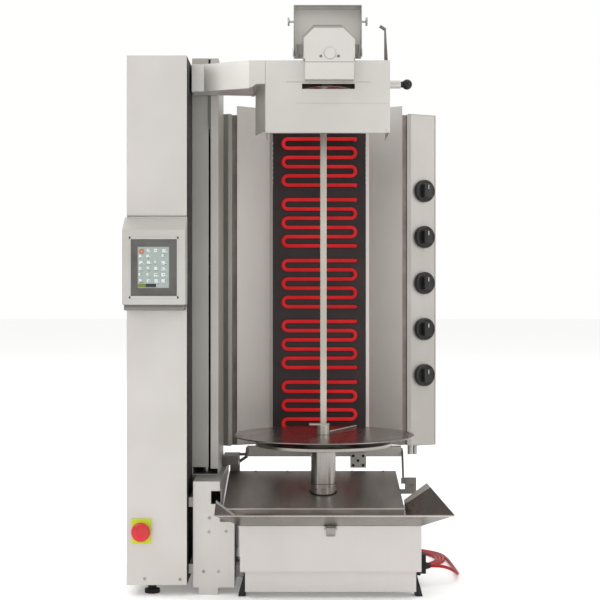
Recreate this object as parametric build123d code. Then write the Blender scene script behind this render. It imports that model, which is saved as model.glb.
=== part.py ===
"""Vertical rotisserie broiler with a powered slicing head, as an assembly of separate pieces.

The frame: +X to the right, +Y to the back, +Z up, floor at Z = 0.  The pieces are drawn about the
skewer's axis (X = Y = 0) and moved at the end, so that the origin is the bottom centre of the machine.
"""
from build123d import *
from math import atan2, cos, degrees, hypot, pi, radians, sin, tan
import os

# ---------------------------------------------------------------- driving dimensions, in millimetres
sheet = 2.0                 # stainless sheet of casings and covers
tray_sheet = 1.5            # stainless sheet of the tray
running = 0.05              # radial clearance of a shaft in its bearing
gap = 0.6                   # clearance between pieces that move past each other

# base cabinet under the turntable
cabinet_left = -174.4
cabinet_width = 372.3
cabinet_front = -200.0
cabinet_depth = 285.0
cabinet_bottom = 57.0
cabinet_top = 151.5
plinth_inset = 10.0
plinth_bottom = 14.0
bench_bolt_span_x = 300.0
bench_bolt_span_y = 200.0
bench_bolt_radius = 4.5

# drive column and turntable
sleeve_radius = 27.5
sleeve_top = 283.0
bearing_radius = 23.5
bearing_width = 12.0
shaft_radius = 12.5
gearbox_top = 105.0
disc_radius = 149.5
disc_bottom = 297.0
disc_thickness = 6.0
plate_radius = 200.0
plate_top = 320.0
plate_thickness = 3.0
skewer_side = 14.0
skewer_clearance = 0.3
skewer_seat = 262.0
skewer_top = 1062.0

# catch tray
tray_left = -214.0
tray_inset_right = 27.9
tray_front = -110.0
tray_rear = 150.0
tray_front_height = 173.0
tray_rear_height = 220.0
tray_skirt = 14.0
latch_left = 2.0
latch_right = 21.0
latch_pin_y = -204.0
latch_pin_z = 148.0
latch_pin_radius = 1.2
lip_y = -290.0
lip_z = 187.0
lip_left = -221.6
lip_flare_right = 57.7

# control column
column_left = -410.5
column_right = -286.0
column_front = -170.0
column_rear = 200.0
column_bottom = 24.0
column_top = 1122.0
column_seam = 790.0
screen_width = 129.0
screen_centre_x = -349.5
screen_bottom = 592.0
screen_top = 786.0
screen_depth = 46.0
estop_x = -380.0
estop_z = 136.0
estop_radius = 20.0
estop_stem_radius = 11.0
estop_travel = 5.0

# mast with the lift
mast_left = -285.0
mast_right = -228.0
mast_front = -45.0
mast_rear = 150.0
mast_bottom = 236.0
mast_top = 1138.0
mast_slot_x = -247.0
mast_slot_width = 4.4
rail_x = -256.5
rail_radius = 8.0
rail_ys = (0.0, 60.0)
pulley_y = 118.0
pulley_radius = 18.0
pulley_zs = (330.0, 1096.0)
pulley_shaft_radius = 6.0
belt_thickness = 2.0
belt_width = 16.0
belt_clearance = 0.4

# leg between the column and the cabinet
leg_left = -274.7
leg_right = -218.3
leg_wide_right = -188.0
leg_front = -150.0
leg_step_z = cabinet_top
leg_bottom = 14.5

# slicing arm and head
arm_bottom = 1057.0
arm_top = 1115.0
arm_wall = 3.0
arm_root_front = -107.0
arm_root_back = -53.0
head_front = -152.0
head_back = -20.0
head_left = -123.3
head_right = 136.6
head_neck_left = -157.0
head_bottom = 964.0
spindle_x = 8.0
spindle_y = -95.0
spindle_radius = 6.0
blade_radius = 52.0
blade_thickness = 2.0
blade_z = 1060.0
housing_front = -175.0
housing_back = -75.0
hood_left = -65.0
hood_right = 82.0
hood_front = -60.0
hood_back = -20.0
hood_top = 1251.0
hood_pivot_y = -40.0
hood_pivot_z = 1152.0
plunger_y = -100.0
plunger_z = 1073.0
plunger_radius = 4.0

# heater
heater_centre = -5.5
heater_bottom = 274.0
heater_top = 1050.0
wing_top = 1068.0
wing_front_x = 193.0
wing_front_y = 180.0
wing_fold_x = 118.0
wing_back_x = 110.0
reflector_y = 230.0
reflector_bottom = 290.0
reflector_top = 1010.0
flange_outer_x = 213.6
flange_inner_x = 204.0
panel_outer_x = 274.0
panel_outer_y = 212.0
heater_shoulder_y = 240.0
heater_back_x = 200.0
heater_back_y = 330.0
element_radius = 4.0
element_y = 222.0
element_pitch = 21.8
element_half_width = 89.4
element_lines = 6
zone_count = 5
zone_pitch = 143.8
zone_first_z = 995.9
knob_first_z = 870.3
knob_pitch = 107.8
knob_radius = 26.0
knob_shaft_radius = 3.0
crossbar_y = 190.0
crossbar_bottom = 250.0

# mains lead
cord_diameter = 7.0
relief_reach = 33.1
coil_centre = (170.0, 225.0)
coil_outer_radius = 130.0
coil_inner_radius = 95.0
coil_height = 16.0
plug_radius = 19.0


# ---------------------------------------------------------------- drawing helpers
def block(x0, x1, y0, y1, z0, z1):
    """A box between two corners."""
    return Pos((x0 + x1) / 2, (y0 + y1) / 2, (z0 + z1) / 2) * Box(x1 - x0, y1 - y0, z1 - z0)


def rod_x(x0, x1, y, z, radius):
    return Pos((x0 + x1) / 2, y, z) * Rot(0, 90, 0) * Cylinder(radius, x1 - x0)


def rod_y(x, y0, y1, z, radius):
    return Pos(x, (y0 + y1) / 2, z) * Rot(90, 0, 0) * Cylinder(radius, y1 - y0)


def rod_z(x, y, z0, z1, radius):
    return Pos(x, y, (z0 + z1) / 2) * Cylinder(radius, z1 - z0)


def rod_between(start, end, radius):
    """A round bar from one point to another."""
    run = Vector(*end) - Vector(*start)
    middle = (Vector(*start) + Vector(*end)) / 2
    return Plane(origin=middle, z_dir=run) * Cylinder(radius, run.length)


def outline(points, inset=0.0):
    """A flat face inside the points, with its edges moved inwards by the inset."""
    area = sum(p[0] * q[1] - q[0] * p[1] for p, q in zip(points, points[1:] + points[:1]))
    points = points if area > 0 else points[::-1]
    moved = []
    for before, here, after in zip(points[-1:] + points[:-1], points, points[1:] + points[:1]):
        first = Vector(here[0] - before[0], here[1] - before[1]).normalized()
        second = Vector(after[0] - here[0], after[1] - here[1]).normalized()
        normal = Vector(-(first.Y + second.Y), first.X + second.X).normalized()
        reach = inset / normal.dot(Vector(-first.Y, first.X))
        moved.append((here[0] + normal.X * reach, here[1] + normal.Y * reach))
    return Polygon(*moved, align=None)


def prism_x(points, x0, x1, inset=0.0):
    """An outline of (y, z) points, extruded along X."""
    return extrude(Plane.YZ.offset(x0) * outline(points, inset), x1 - x0)


def prism_y(points, y0, y1, inset=0.0):
    """An outline of (x, z) points, extruded along Y."""
    return extrude(Plane.XZ.offset(-y1) * outline(points, inset), y1 - y0)


def prism_z(points, z0, z1, inset=0.0):
    """An outline of (x, y) points, extruded along Z."""
    return extrude(Plane.XY.offset(z0) * outline(points, inset), z1 - z0)


def band(points, thickness):
    """The outline of a folded sheet: its outer face follows the points, its body lies to their left."""
    inner = []
    for i, (x, y) in enumerate(points):
        before = points[max(i - 1, 0)]
        after = points[min(i + 1, len(points) - 1)]
        first = Vector(x - before[0], y - before[1])
        second = Vector(after[0] - x, after[1] - y)
        first = first if first.length else second
        second = second if second.length else first
        first = first.normalized()
        second = second.normalized()
        normal = Vector(-(first.Y + second.Y), first.X + second.X).normalized()
        reach = thickness / max(normal.dot(Vector(-first.Y, first.X)), 0.3)
        inner.append((x + normal.X * reach, y + normal.Y * reach))
    return list(points) + inner[::-1]


def patch(points, thickness):
    """A thin sheet over points in space, made of flat triangles that share an edge."""
    solid = None
    for i in range(1, len(points) - 1):
        face = make_face(Polyline(points[0], points[i], points[i + 1], close=True))
        piece = extrude(face, amount=thickness, dir=(0, 0, 1))
        solid = piece if solid is None else solid + piece
    return solid


cabinet_right = cabinet_left + cabinet_width
cabinet_centre = cabinet_left + cabinet_width / 2
tray_right = cabinet_right - tray_inset_right
lip_right = cabinet_right + lip_flare_right
cord_exit = (cabinet_right + relief_reach, -48.0, 40.0)
cabinet_rear = cabinet_front + cabinet_depth
cabinet_middle_y = (cabinet_front + cabinet_rear) / 2
tray_slope = (tray_rear_height - tray_front_height) / (tray_rear - tray_front)


def tray_height(y):
    """The height of the tray's sloping top at a distance y."""
    return tray_front_height + (y - tray_front) * tray_slope


# ---------------------------------------------------------------- base cabinet and drive
def cabinet_shell():
    """Sheet cabinet, open below, with holes for the drive column and the mains lead."""
    x0, x1, y0, y1 = cabinet_left, cabinet_right, cabinet_front, cabinet_rear
    shell = block(x0, x1, y0, y1, cabinet_bottom, cabinet_top)
    shell -= block(x0 + sheet, x1 - sheet, y0 + sheet, y1 - sheet, cabinet_bottom - 1, cabinet_top - sheet)
    shell -= rod_z(0, 0, cabinet_top - 10, cabinet_top + 10, sleeve_radius + 0.5)
    for i in range(6):
        x = cabinet_centre - 75 + 30 * i
        shell -= block(x - 4, x + 4, y1 - 10, y1 + 1, cabinet_bottom + 25, cabinet_top - 25)
    return shell


def base_plinth():
    """Recessed plinth with a floor plate that carries the drive, and two tubes that tie it to the leg."""
    x0, x1 = cabinet_left + plinth_inset, cabinet_right - plinth_inset
    y0, y1 = cabinet_front + plinth_inset, cabinet_rear - plinth_inset
    body = block(x0, x1, y0, y1, plinth_bottom, cabinet_bottom)
    body -= block(x0 + sheet, x1 - sheet, y0 + sheet, y1 - sheet, plinth_bottom + 3, cabinet_bottom + 1)
    rim_x0, rim_x1 = cabinet_left + sheet, cabinet_right - sheet
    rim = block(rim_x0, rim_x1, cabinet_front + sheet, cabinet_rear - sheet, cabinet_bottom, cabinet_bottom + 3)
    rim -= block(x0 + sheet, x1 - sheet, y0 + sheet, y1 - sheet, cabinet_bottom - 1, cabinet_bottom + 4)
    body += rim
    for y in (-60, 0):
        body += block(leg_wide_right, x0 + 1, y - 15, y + 15, 22, 48)
    for i in (-1, 1):
        for j in (-1, 1):
            x = cabinet_centre + i * bench_bolt_span_x / 2
            y = cabinet_middle_y + j * bench_bolt_span_y / 2
            body -= rod_z(x, y, plinth_bottom - 1, plinth_bottom + 4, bench_bolt_radius)
    return body


def feet():
    """Four rubber wedges beside the plinth and two levelling feet under the column."""
    x0, x1 = cabinet_left + plinth_inset, cabinet_right - plinth_inset
    pads = []
    for y in (-153, cabinet_rear - 50):
        left = [(x0, 0), (x0, 43), (x0 - 4, 43), (x0 - 15, 3), (x0 - 15, 0)]
        right = [(x1, 0), (x1, 43), (x1 + 4, 43), (x1 + 15, 3), (x1 + 15, 0)]
        pads.append(prism_y(left, y - 14, y + 14))
        pads.append(prism_y(right, y - 14, y + 14))
    for y in (-126, 160):
        x = (column_left + column_right) / 2 - 14
        foot = rod_z(x, y, 0, 8, 16) + rod_z(x, y, 8, column_bottom, 9)
        pads.append(foot)
    return Compound(children=[solid for pad in pads for solid in pad.solids()])


def cable_inlet():
    """Moulded inlet box on the cabinet's right wall, with a tapered strain relief for the lead."""
    wall = cabinet_right
    x, y, z = cord_exit
    body = block(wall, wall + 21, y - 26, y + 20, z - 13, 68)
    body = fillet(body.edges().filter_by(Axis.X), 4)
    body += block(wall - plinth_inset, wall + 10, y - 20, y + 14, 23, z - 12)
    relief = Pos((wall + 21 + x) / 2, y, z) * Rot(0, 90, 0) * Cone(8.5, cord_diameter / 2 + 1.2, x - wall - 21)
    return body + relief


def gear_motor():
    """Right-angle gear motor on the plinth's floor, with a hollow output for the drive shaft."""
    floor = plinth_bottom + 3
    body = block(-46, 46, -42, 42, floor, gearbox_top)
    body = fillet(body.edges().filter_by(Axis.Z), 8)
    motor = rod_x(46, 58, 0, 62, 40) + rod_x(58, 150, 0, 62, 34)
    for i in range(7):
        motor += rod_x(66 + 12 * i, 70 + 12 * i, 0, 62, 37)
    return body + motor - rod_z(0, 0, 60, gearbox_top + 1, shaft_radius + running)


def column_sleeve():
    """Round tube that stands on the gearbox and holds the shaft's two bearings."""
    tube = rod_z(0, 0, gearbox_top, sleeve_top, sleeve_radius)
    tube -= rod_z(0, 0, gearbox_top - 1, sleeve_top + 1, bearing_radius)
    seam_z = 201.7
    ring = rod_z(0, 0, seam_z - 0.6, seam_z + 0.6, sleeve_radius + 1)
    ring -= rod_z(0, 0, seam_z - 1, seam_z + 1, sleeve_radius - 0.5)
    return tube - ring


def shaft_bearings():
    """Two ball bearings pressed into the sleeve's ends, each as one ring."""
    rings = []
    for z in (gearbox_top + 2, sleeve_top - bearing_width - 2):
        ring = rod_z(0, 0, z, z + bearing_width, bearing_radius)
        ring -= rod_z(0, 0, z - 1, z + bearing_width + 1, shaft_radius + running)
        for face in (z - 0.01, z + bearing_width - 0.99):
            groove = rod_z(0, 0, face, face + 1, 20) - rod_z(0, 0, face, face + 1, 16)
            ring -= groove
        rings.append(ring)
    return Compound(children=[solid for ring in rings for solid in ring.solids()])


def turntable_hub():
    """Lower disc, hub and drive shaft in one turned piece, with the skewer's square socket."""
    hub = rod_z(0, 0, 62, disc_bottom, shaft_radius)
    hub += rod_z(0, 0, sleeve_top + 1, disc_bottom, sleeve_radius)
    hub += rod_z(0, 0, disc_bottom, disc_bottom + disc_thickness, disc_radius)
    hub += rod_z(0, 0, disc_bottom + disc_thickness, plate_top - plate_thickness, 60)
    side = skewer_side / 2 + skewer_clearance
    return hub - block(-side, side, -side, side, skewer_seat, plate_top)


def turntable_plate():
    """Wide meat plate with a rounded raised rim, resting on the hub."""
    plate = rod_z(0, 0, plate_top - plate_thickness, plate_top, plate_radius)
    plate = fillet(plate.edges().sort_by(Axis.Z)[-1], 1.0)
    side = skewer_side / 2 + skewer_clearance
    return plate - block(-side, side, -side, side, plate_top - 10, plate_top + 1)


def skewer():
    """Square bar that stands in the hub's socket, pointed at the top."""
    half = skewer_side / 2
    bar = block(-half, half, -half, half, skewer_seat + 0.2, skewer_top - 30)
    tip = loft([Plane.XY.offset(skewer_top - 30) * Rectangle(skewer_side, skewer_side),
                Plane.XY.offset(skewer_top) * Rectangle(3, 3)])
    return bar + tip


def skewer_clip():
    """Retaining clip round the skewer on its spacer, and a loose pin that lies on the plate."""
    side = skewer_side / 2 + skewer_clearance
    clip = rod_z(0, 0, plate_top, plate_top + 20, 13)
    clip += block(-31, 13, -10, 10, plate_top + 20, plate_top + 24)
    clip -= block(-side, side, -side, side, plate_top - 1, plate_top + 30)
    pin_z = plate_top + 2.0
    pin = rod_between((15.7, 42, pin_z), (78.8, 176, pin_z), 2.0)
    return Compound(children=list(clip.solids()) + list(pin.solids()))


# ---------------------------------------------------------------- catch tray
def tray_floor():
    """Sloping drip plate with turned-down edges, on a skirt that stands on the cabinet."""
    y0, y1, t = tray_front, tray_rear, tray_sheet
    outer = [(y0, tray_front_height - tray_skirt), (y0, tray_front_height),
             (y1, tray_rear_height), (y1, tray_rear_height - tray_skirt)]
    inner = [(y0 + t, tray_front_height - 60), (y0 + t, tray_height(y0 + t) - t),
             (y1 - t, tray_height(y1 - t) - t), (y1 - t, tray_front_height - 60)]
    pan = prism_x(outer, tray_left, tray_right) - prism_x(inner, tray_left + t, tray_right - t)
    s0, s1, base = tray_front + 12, cabinet_rear - 5, cabinet_top
    skirt_left, skirt_right = cabinet_left + 14, tray_right - 14
    wall = [(s0, base), (s0, tray_height(s0) - t / 2), (s1, tray_height(s1) - t / 2), (s1, base)]
    void = [(s0 + t, base - 1), (s0 + t, tray_height(s0 + t)), (s1 - t, tray_height(s1 - t)), (s1 - t, base - 1)]
    skirt = prism_x(wall, skirt_left, skirt_right) - prism_x(void, skirt_left + t, skirt_right - t)
    return pan + skirt - rod_z(0, 0, cabinet_top, tray_rear_height + 5, sleeve_radius + 0.5)


def tray_gutter():
    """Drip gutter in front of the tray's floor: a channel, a flared front apron and two side flares."""
    t, base = tray_sheet, cabinet_top
    channel_back = tray_front - 2.0
    front_left = (cabinet_left, cabinet_front, base)
    front_right = (cabinet_right, cabinet_front, base)
    lip_right_front = (lip_right, lip_y, lip_z)
    lip_left_front = (lip_left, lip_y, lip_z)
    gutter = block(cabinet_left, cabinet_right, cabinet_front, channel_back, base, base + t)
    gutter += block(tray_left + 42, tray_right, channel_back - t, channel_back, base, base + 12)
    gutter += patch([front_left, front_right, lip_right_front, lip_left_front], t)
    right_rear = (219, -100, 224)
    right_root = (173, -60, tray_height(-60) - 1)
    gutter += patch([front_right, right_root, right_rear, lip_right_front], t)
    gutter += patch([front_right, (tray_right + 2.5, channel_back, base + 1), right_root], t)
    left_rear = (-223.6, -200, 202.7)
    left_root = (-172.0, -160, base + 3)
    gutter += patch([front_left, lip_left_front, left_rear, left_root], t)
    x0, x1, y, z = latch_left, latch_right, latch_pin_y, latch_pin_z
    gutter += rod_x(x0 - 4, x1 + 4, y, z, latch_pin_radius)
    for ear in (x0 - 4, x1 + gap):
        gutter += block(ear, ear + 4 - gap, y - 2.5, cabinet_front, z - 3, base + 1)
    return gutter


def tray_latch():
    """Small drop latch that hangs from a pin at the front of the gutter."""
    x0, x1, y, z = latch_left, latch_right, latch_pin_y, latch_pin_z
    tongue = block(x0, x1, y - 1.5, y + 1.5, z - 17, z)
    tongue += rod_x(x0, x1, y, z, 2.4)
    tongue += block(x0 + 3, x1 - 3, y - 4, y, z - 17, z - 14)
    return tongue - rod_x(x0 - 1, x1 + 1, y, z, latch_pin_radius + running)


def screw(x, y, z, direction, radius=3.2):
    """Domed screw head that sits on a surface and stands out along the direction."""
    head = Cylinder(radius, 1.6, align=(Align.CENTER, Align.CENTER, Align.MIN))
    head = fillet(head.edges().sort_by(Axis.Z)[-1], 0.9)
    return Plane(origin=(x, y, z), z_dir=direction) * head


def panel_screws():
    """The visible screws of the leg, the column and the tray's rear edge."""
    front = (0, -1, 0)
    screws = [screw(x, leg_front, z, front) for x, z in
              ((-241.3, 130.6), (-205.8, 131.8), (-252.8, 48), (-221.5, 48), (-240.7, 160))]
    screws += [screw(x, column_front, z, front) for x, z in ((column_left + 37, 37), (column_right - 14, 36))]
    rear_z = tray_rear_height - 5 * tray_slope
    screws += [screw(x, tray_rear - 5, rear_z, (0, -tray_slope, 1)) for x in (-153, -80, 69, 141)]
    return Compound(children=[solid for item in screws for solid in item.solids()])


# ---------------------------------------------------------------- leg, column and screen
def leg_panel():
    """Folded box leg between column and cabinet, with a foot tab and a notch for the tray's lip."""
    t = sheet
    outer = [(leg_left, mast_bottom), (leg_left, leg_bottom), (leg_wide_right, leg_bottom),
             (leg_wide_right, leg_step_z), (leg_right, leg_step_z), (leg_right, mast_bottom)]
    body = prism_y(outer, leg_front, column_rear) - prism_y(outer, leg_front + t, column_rear - t, inset=t)
    tab = [(-263, leg_bottom + 1), (-263, 4), (-259, 0), (-222, 0), (-222, leg_bottom + 1)]
    body += prism_y(tab, leg_front, leg_front + 40)
    body += prism_y(tab, column_rear - 60, column_rear - 20)
    body -= block(-237, leg_right + 1, leg_front - 1, leg_front + 50, 189, 216)
    body += block(column_right, leg_left + 1, leg_front + 20, column_rear - 20, 40, 60)
    body += block(column_right, leg_left + 1, leg_front + 20, column_rear - 20, 180, 200)
    return body


def column_casing():
    """Tall sheet casing of the control column, open at the back, with a seam above the screen."""
    t = sheet
    shell = block(column_left, column_right, column_front, column_rear - t, column_bottom, column_top)
    shell -= block(column_left + t, column_right - t, column_front + t, column_rear,
                   column_bottom + t, column_top - t)
    seam = block(column_left - 1, column_right + 1, column_front - 1, column_rear, column_seam - 0.7, column_seam + 0.7)
    seam -= block(column_left + 0.8, column_right - 0.8, column_front + 0.8, column_rear + 1,
                  column_seam - 1, column_seam + 1)
    shell -= seam
    shell -= rod_y(estop_x, column_front - 1, column_front + 5, estop_z, estop_stem_radius + gap)
    shell -= rod_x(column_right - 5, column_right + 1, pulley_y, pulley_zs[0], pulley_shaft_radius + 3)
    middle = (screen_bottom + screen_top) / 2
    shell -= block(screen_centre_x - 30, screen_centre_x + 30, column_front - 1, column_front + 5,
                   middle - 40, middle + 40)
    return shell


def column_back_cover():
    """Flat back cover of the column, with ventilation slots."""
    cover = block(column_left, column_right, column_rear - sheet, column_rear, column_bottom, column_top)
    for z in range(8):
        for base in (120, 960):
            height = base + 10 * z
            cover -= block(column_left + 30, column_right - 30, column_rear - 5, column_rear + 1,
                           height, height + 4)
    return cover


def control_module():
    """Controller, supply and contactors on a plate inside the column."""
    x0, x1 = column_left + 15, column_right - 15
    y = column_rear - sheet
    plate = block(x0, x1, y - 3, y, 250, 880)
    plate += block(x0 + 8, x1 - 8, y - 70, y - 3, 700, 860)
    plate += block(x0 + 8, x1 - 30, y - 55, y - 3, 560, 670)
    for i in range(4):
        x = x0 + 6 + 21 * i
        plate += block(x, x + 18, y - 75, y - 3, 300 + 80, 470)
    return plate


def screen_housing():
    """Wedge-shaped hood for the touch screen on the column's front."""
    front, back = column_front - screen_depth, column_front
    x0, x1 = screen_centre_x - screen_width / 2, screen_centre_x + screen_width / 2
    side = [(back, screen_bottom + 8), (front, screen_bottom + 12), (front, screen_top - 28), (back, screen_top)]
    body = prism_x(side, x0, x1)
    body = fillet(body.edges().filter_by(Axis.Y, tolerance=12).sort_by(Axis.Z)[:2], 5)
    body -= prism_x(side, x0 + sheet, x1 - sheet, inset=sheet)
    body -= block(x0 + 14, x1 - 14, front - 1, front + 10, screen_bottom + 26, screen_top - 42)
    body -= block(screen_centre_x - 30, screen_centre_x + 30, back - 5, back + 1, 649, 729)
    return body


def screen_bezel():
    """Dark panel frame set into the hood."""
    front = column_front - screen_depth
    x0, x1 = screen_centre_x - screen_width / 2 + 14.3, screen_centre_x + screen_width / 2 - 14.3
    z0, z1 = screen_bottom + 26.3, screen_top - 42.3
    frame = block(x0, x1, front + 1.0, front + 9, z0, z1)
    frame -= block(x0 + 17, x1 - 19, front, front + 4, z0 + 21, z1 - 20)
    return frame


def screen_panel():
    """Glass of the touch screen."""
    front = column_front - screen_depth
    x0, x1 = screen_centre_x - screen_width / 2 + 14.3, screen_centre_x + screen_width / 2 - 14.3
    z0, z1 = screen_bottom + 26.3, screen_top - 42.3
    return block(x0 + 17, x1 - 19, front + 1.8, front + 4, z0 + 21, z1 - 20)


def estop_plate():
    """Square yellow back plate of the emergency stop, with its contact block behind the casing."""
    plate = block(estop_x - 20, estop_x + 20, column_front - 2.5, column_front, estop_z - 26, estop_z + 26)
    collar = rod_y(estop_x, column_front - 6, column_front - 2.5, estop_z, 16)
    holder = block(estop_x - 17, estop_x + 17, column_front + 5, column_front + 50, estop_z - 20, estop_z + 20)
    holder += rod_y(estop_x, column_front, column_front + 5, estop_z, estop_stem_radius)
    bore = rod_y(estop_x, column_front - 10, column_front + 40, estop_z, estop_stem_radius - 3 + running)
    return plate + collar + holder - bore


def estop_button():
    """Red mushroom button on its stem."""
    face = column_front - 6 - estop_travel - gap
    cap = rod_y(estop_x, face - 13, face, estop_z, estop_radius)
    cap = fillet(cap.edges().sort_by(Axis.Y)[0], 6)
    return cap + rod_y(estop_x, face, column_front + 30, estop_z, estop_stem_radius - 3)


# ---------------------------------------------------------------- mast and lift
def mast_frame():
    """Tall box frame, open in front, that holds the lift's rails, belt and pulleys."""
    t = sheet
    body = block(mast_left, mast_right, mast_front, mast_rear, mast_bottom, mast_top)
    body -= block(mast_left + t, mast_right - t, mast_front - 1, mast_rear - t, mast_bottom + t, mast_top - t)
    for z in pulley_zs:
        body -= rod_x(mast_left - 1, mast_right + 1, pulley_y, z, pulley_shaft_radius + running)
    return body


def mast_panel():
    """Front cover of the mast, left of the arm's slot."""
    right = mast_slot_x - mast_slot_width / 2
    return block(mast_left, right, mast_front - sheet, mast_front, mast_bottom + 17, mast_top)


def mast_strip():
    """Folded front strip of the mast, right of the arm's slot."""
    left = mast_slot_x + mast_slot_width / 2
    return block(left, mast_right, mast_front - sheet - 1.0, mast_front, mast_bottom + 14, mast_top)


def guide_rails():
    """Two ground rods that guide the carriage."""
    rods = [rod_z(rail_x, y, mast_bottom + sheet, mast_top - sheet, rail_radius) for y in rail_ys]
    return Compound(children=[solid for rod in rods for solid in rod.solids()])


def lift_motor():
    """Gear motor of the lift, inside the column, with a bore for the lower pulley's shaft."""
    right = column_right - sheet
    body = rod_x(right - 40, right, pulley_y, pulley_zs[0], 38) + rod_x(right - 100, right - 40, pulley_y,
                                                                        pulley_zs[0], 31)
    return body - rod_x(right - 30, right + 1, pulley_y, pulley_zs[0], pulley_shaft_radius + running)


def pulley(z, shaft_left):
    """Flanged belt pulley with its shaft."""
    x0, x1 = rail_x - belt_width / 2 - 1, rail_x + belt_width / 2 + 1
    wheel = rod_x(x0, x1, pulley_y, z, pulley_radius)
    for x in (x0 - 1.5, x1):
        wheel += rod_x(x, x + 1.5, pulley_y, z, pulley_radius + 4)
    return wheel + rod_x(shaft_left, mast_right - 0.3, pulley_y, z, pulley_shaft_radius)


def lift_pulley_lower():
    return pulley(pulley_zs[0], column_right - sheet - 25)


def lift_pulley_upper():
    return pulley(pulley_zs[1], mast_left + 0.3)


def lift_belt():
    """Flat belt loop round both pulleys."""
    z0, z1 = pulley_zs
    inner = pulley_radius + belt_clearance
    loop = None
    for sign, radius in ((1, inner + belt_thickness), (-1, inner)):
        stretch = 0 if sign > 0 else 1
        x0, x1 = rail_x - belt_width / 2 - stretch, rail_x + belt_width / 2 + stretch
        solid = block(x0, x1, pulley_y - radius, pulley_y + radius, z0, z1)
        solid += rod_x(x0, x1, pulley_y, z0, radius) + rod_x(x0, x1, pulley_y, z1, radius)
        loop = solid if loop is None else loop - solid
    return loop


def carriage():
    """Lift carriage on the rails, clamped round the belt's front run, with the plate that leaves the slot."""
    belt_y = pulley_y - pulley_radius - belt_clearance - belt_thickness / 2
    body = block(rail_x - 19, rail_x + 19, -22, belt_y + 7, 975, 1050)
    for y in rail_ys:
        body -= rod_z(rail_x, y, 970, 1055, rail_radius + running)
    half = belt_width / 2 + 1
    reach = belt_thickness / 2 + 0.8
    body -= block(rail_x - half, rail_x + half, belt_y - reach, belt_y + reach, 970, 1055)
    web = block(mast_slot_x - 1.5, mast_slot_x + 1.5, arm_root_back, -20, 985, arm_top - 4)
    flange = block(mast_left + 7, mast_right + 3, arm_root_back, arm_root_back + 3, arm_bottom + 2, arm_top - 2)
    return body + web + flange


# ---------------------------------------------------------------- arm and slicing head
def arm_beam():
    """Hollow box arm from the mast to the head, bent forward past the heater's edge."""
    plan = [(-281, arm_root_front), (-255, arm_root_front), (head_neck_left, head_front),
            (head_neck_left, -44), (-215, arm_root_back), (-281, arm_root_back)]
    body = prism_z(plan, arm_bottom, arm_top)
    return body - prism_z(plan, arm_bottom + arm_wall, arm_top - arm_wall, inset=arm_wall)


def head_cover():
    """Sheet hood of the slicing head, open below and behind, with the blade's slot and a plunger boss."""
    t = sheet
    outer = [(head_neck_left, arm_top), (head_neck_left, arm_bottom + 2), (head_neck_left + 5, arm_bottom + 2),
             (head_neck_left + 14, 1066), (head_left, 1066), (head_left, head_bottom),
             (head_right, head_bottom), (head_right, arm_top)]
    body = prism_y(outer, head_front, head_back) - prism_y(outer, head_front + t, head_back + 1, inset=t)
    body -= block(head_left + t, head_right - t, head_front + t, head_back + 1, head_bottom - 1, head_bottom + 10)
    flare = band([(head_left + 2, head_front), (head_left - 22, head_front + 92)], t)
    body += prism_z(flare, head_bottom + 5, 1066)
    body -= block(spindle_x - blade_radius - 3, spindle_x + blade_radius + 3, head_front - 1, head_front + 5,
                  1055.5, 1066.4)
    body -= block(-78, 95, head_front - 1, head_front + 1, 1069.4, 1070.6)
    body -= block(spindle_x - 12 - gap, spindle_x + 12 + gap, head_front + t, spindle_y + 17, arm_top - 5, arm_top + 1)
    body += rod_x(head_right - t, head_right + 26, plunger_y, plunger_z, 8.5)
    body -= rod_x(head_right - 5, head_right + 30, plunger_y, plunger_z, plunger_radius + running)
    for y in (plunger_y - 6, plunger_y + 3):
        ear = block(head_right - 9, head_right - 1, y, y + 3, arm_top - 1, arm_top + 9)
        body += ear
    body -= rod_y(head_right - 5, plunger_y - 7, plunger_y + 7, arm_top + 6, 2 + running)
    return body + screw(head_right - 7, head_front, head_bottom + 5, (0, -1, 0), 2.6)


def octagon(x0, x1, z0, z1, cut_left, cut_right):
    """Front outline of the knife housing: a plate with its top corners cut off."""
    return [(x0, z0), (x0, z1 - cut_left), (x0 + cut_left, z1), (x1 - cut_right, z1), (x1, z1 - cut_right), (x1, z0)]


def knife_housing():
    """Tapered eight-sided housing of the knife's drive, with a front skirt, a spindle neck and hinge ears."""
    x0, x1, base = -43.0, 62.5, arm_top + 0.6
    front = octagon(x0, x1, base, 1177, 20, 23)
    back = octagon(x0 - 3, x1 + 3, base, 1205, 24, 28)
    faces = [Plane.XZ.offset(-y) * Polygon(*points, align=None)
             for y, points in ((housing_front, front), (housing_back, back))]
    body = loft(faces)
    body += block(x0 + 2, x1 - 2, housing_front, head_front - gap, 1072, base + 1)
    body -= block(x0 + 5, x1 - 5, housing_front + 3, housing_back + 1, base + 4, 1150)
    body += block(spindle_x - 12, spindle_x + 12, spindle_y - 15, spindle_y + 15, blade_z + 9, base + 4.2)
    body -= rod_z(spindle_x, spindle_y, blade_z, base + 6, spindle_radius + running)
    body += rod_y(11, housing_front - 2, housing_front + 1, 1126, 11.8)
    for x in (-8.3, 28.4):
        body += rod_y(x, housing_front - 1.2, housing_front + 1, 1119.8, 2.6)
    for x in (hood_left + 4, hood_right - 8):
        ear = block(x, x + 4, housing_back - 12, hood_pivot_y + 9, hood_pivot_z - 10, hood_pivot_z + 10)
        inward = block(min(x, spindle_x + 54), max(x + 4, spindle_x - 53), housing_back - 8, housing_back,
                       hood_pivot_z - 10, hood_pivot_z + 10)
        body += ear
        body += inward
        body -= rod_x(x - 1, x + 5, hood_pivot_y, hood_pivot_z, 4 + running)
    return body


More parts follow.
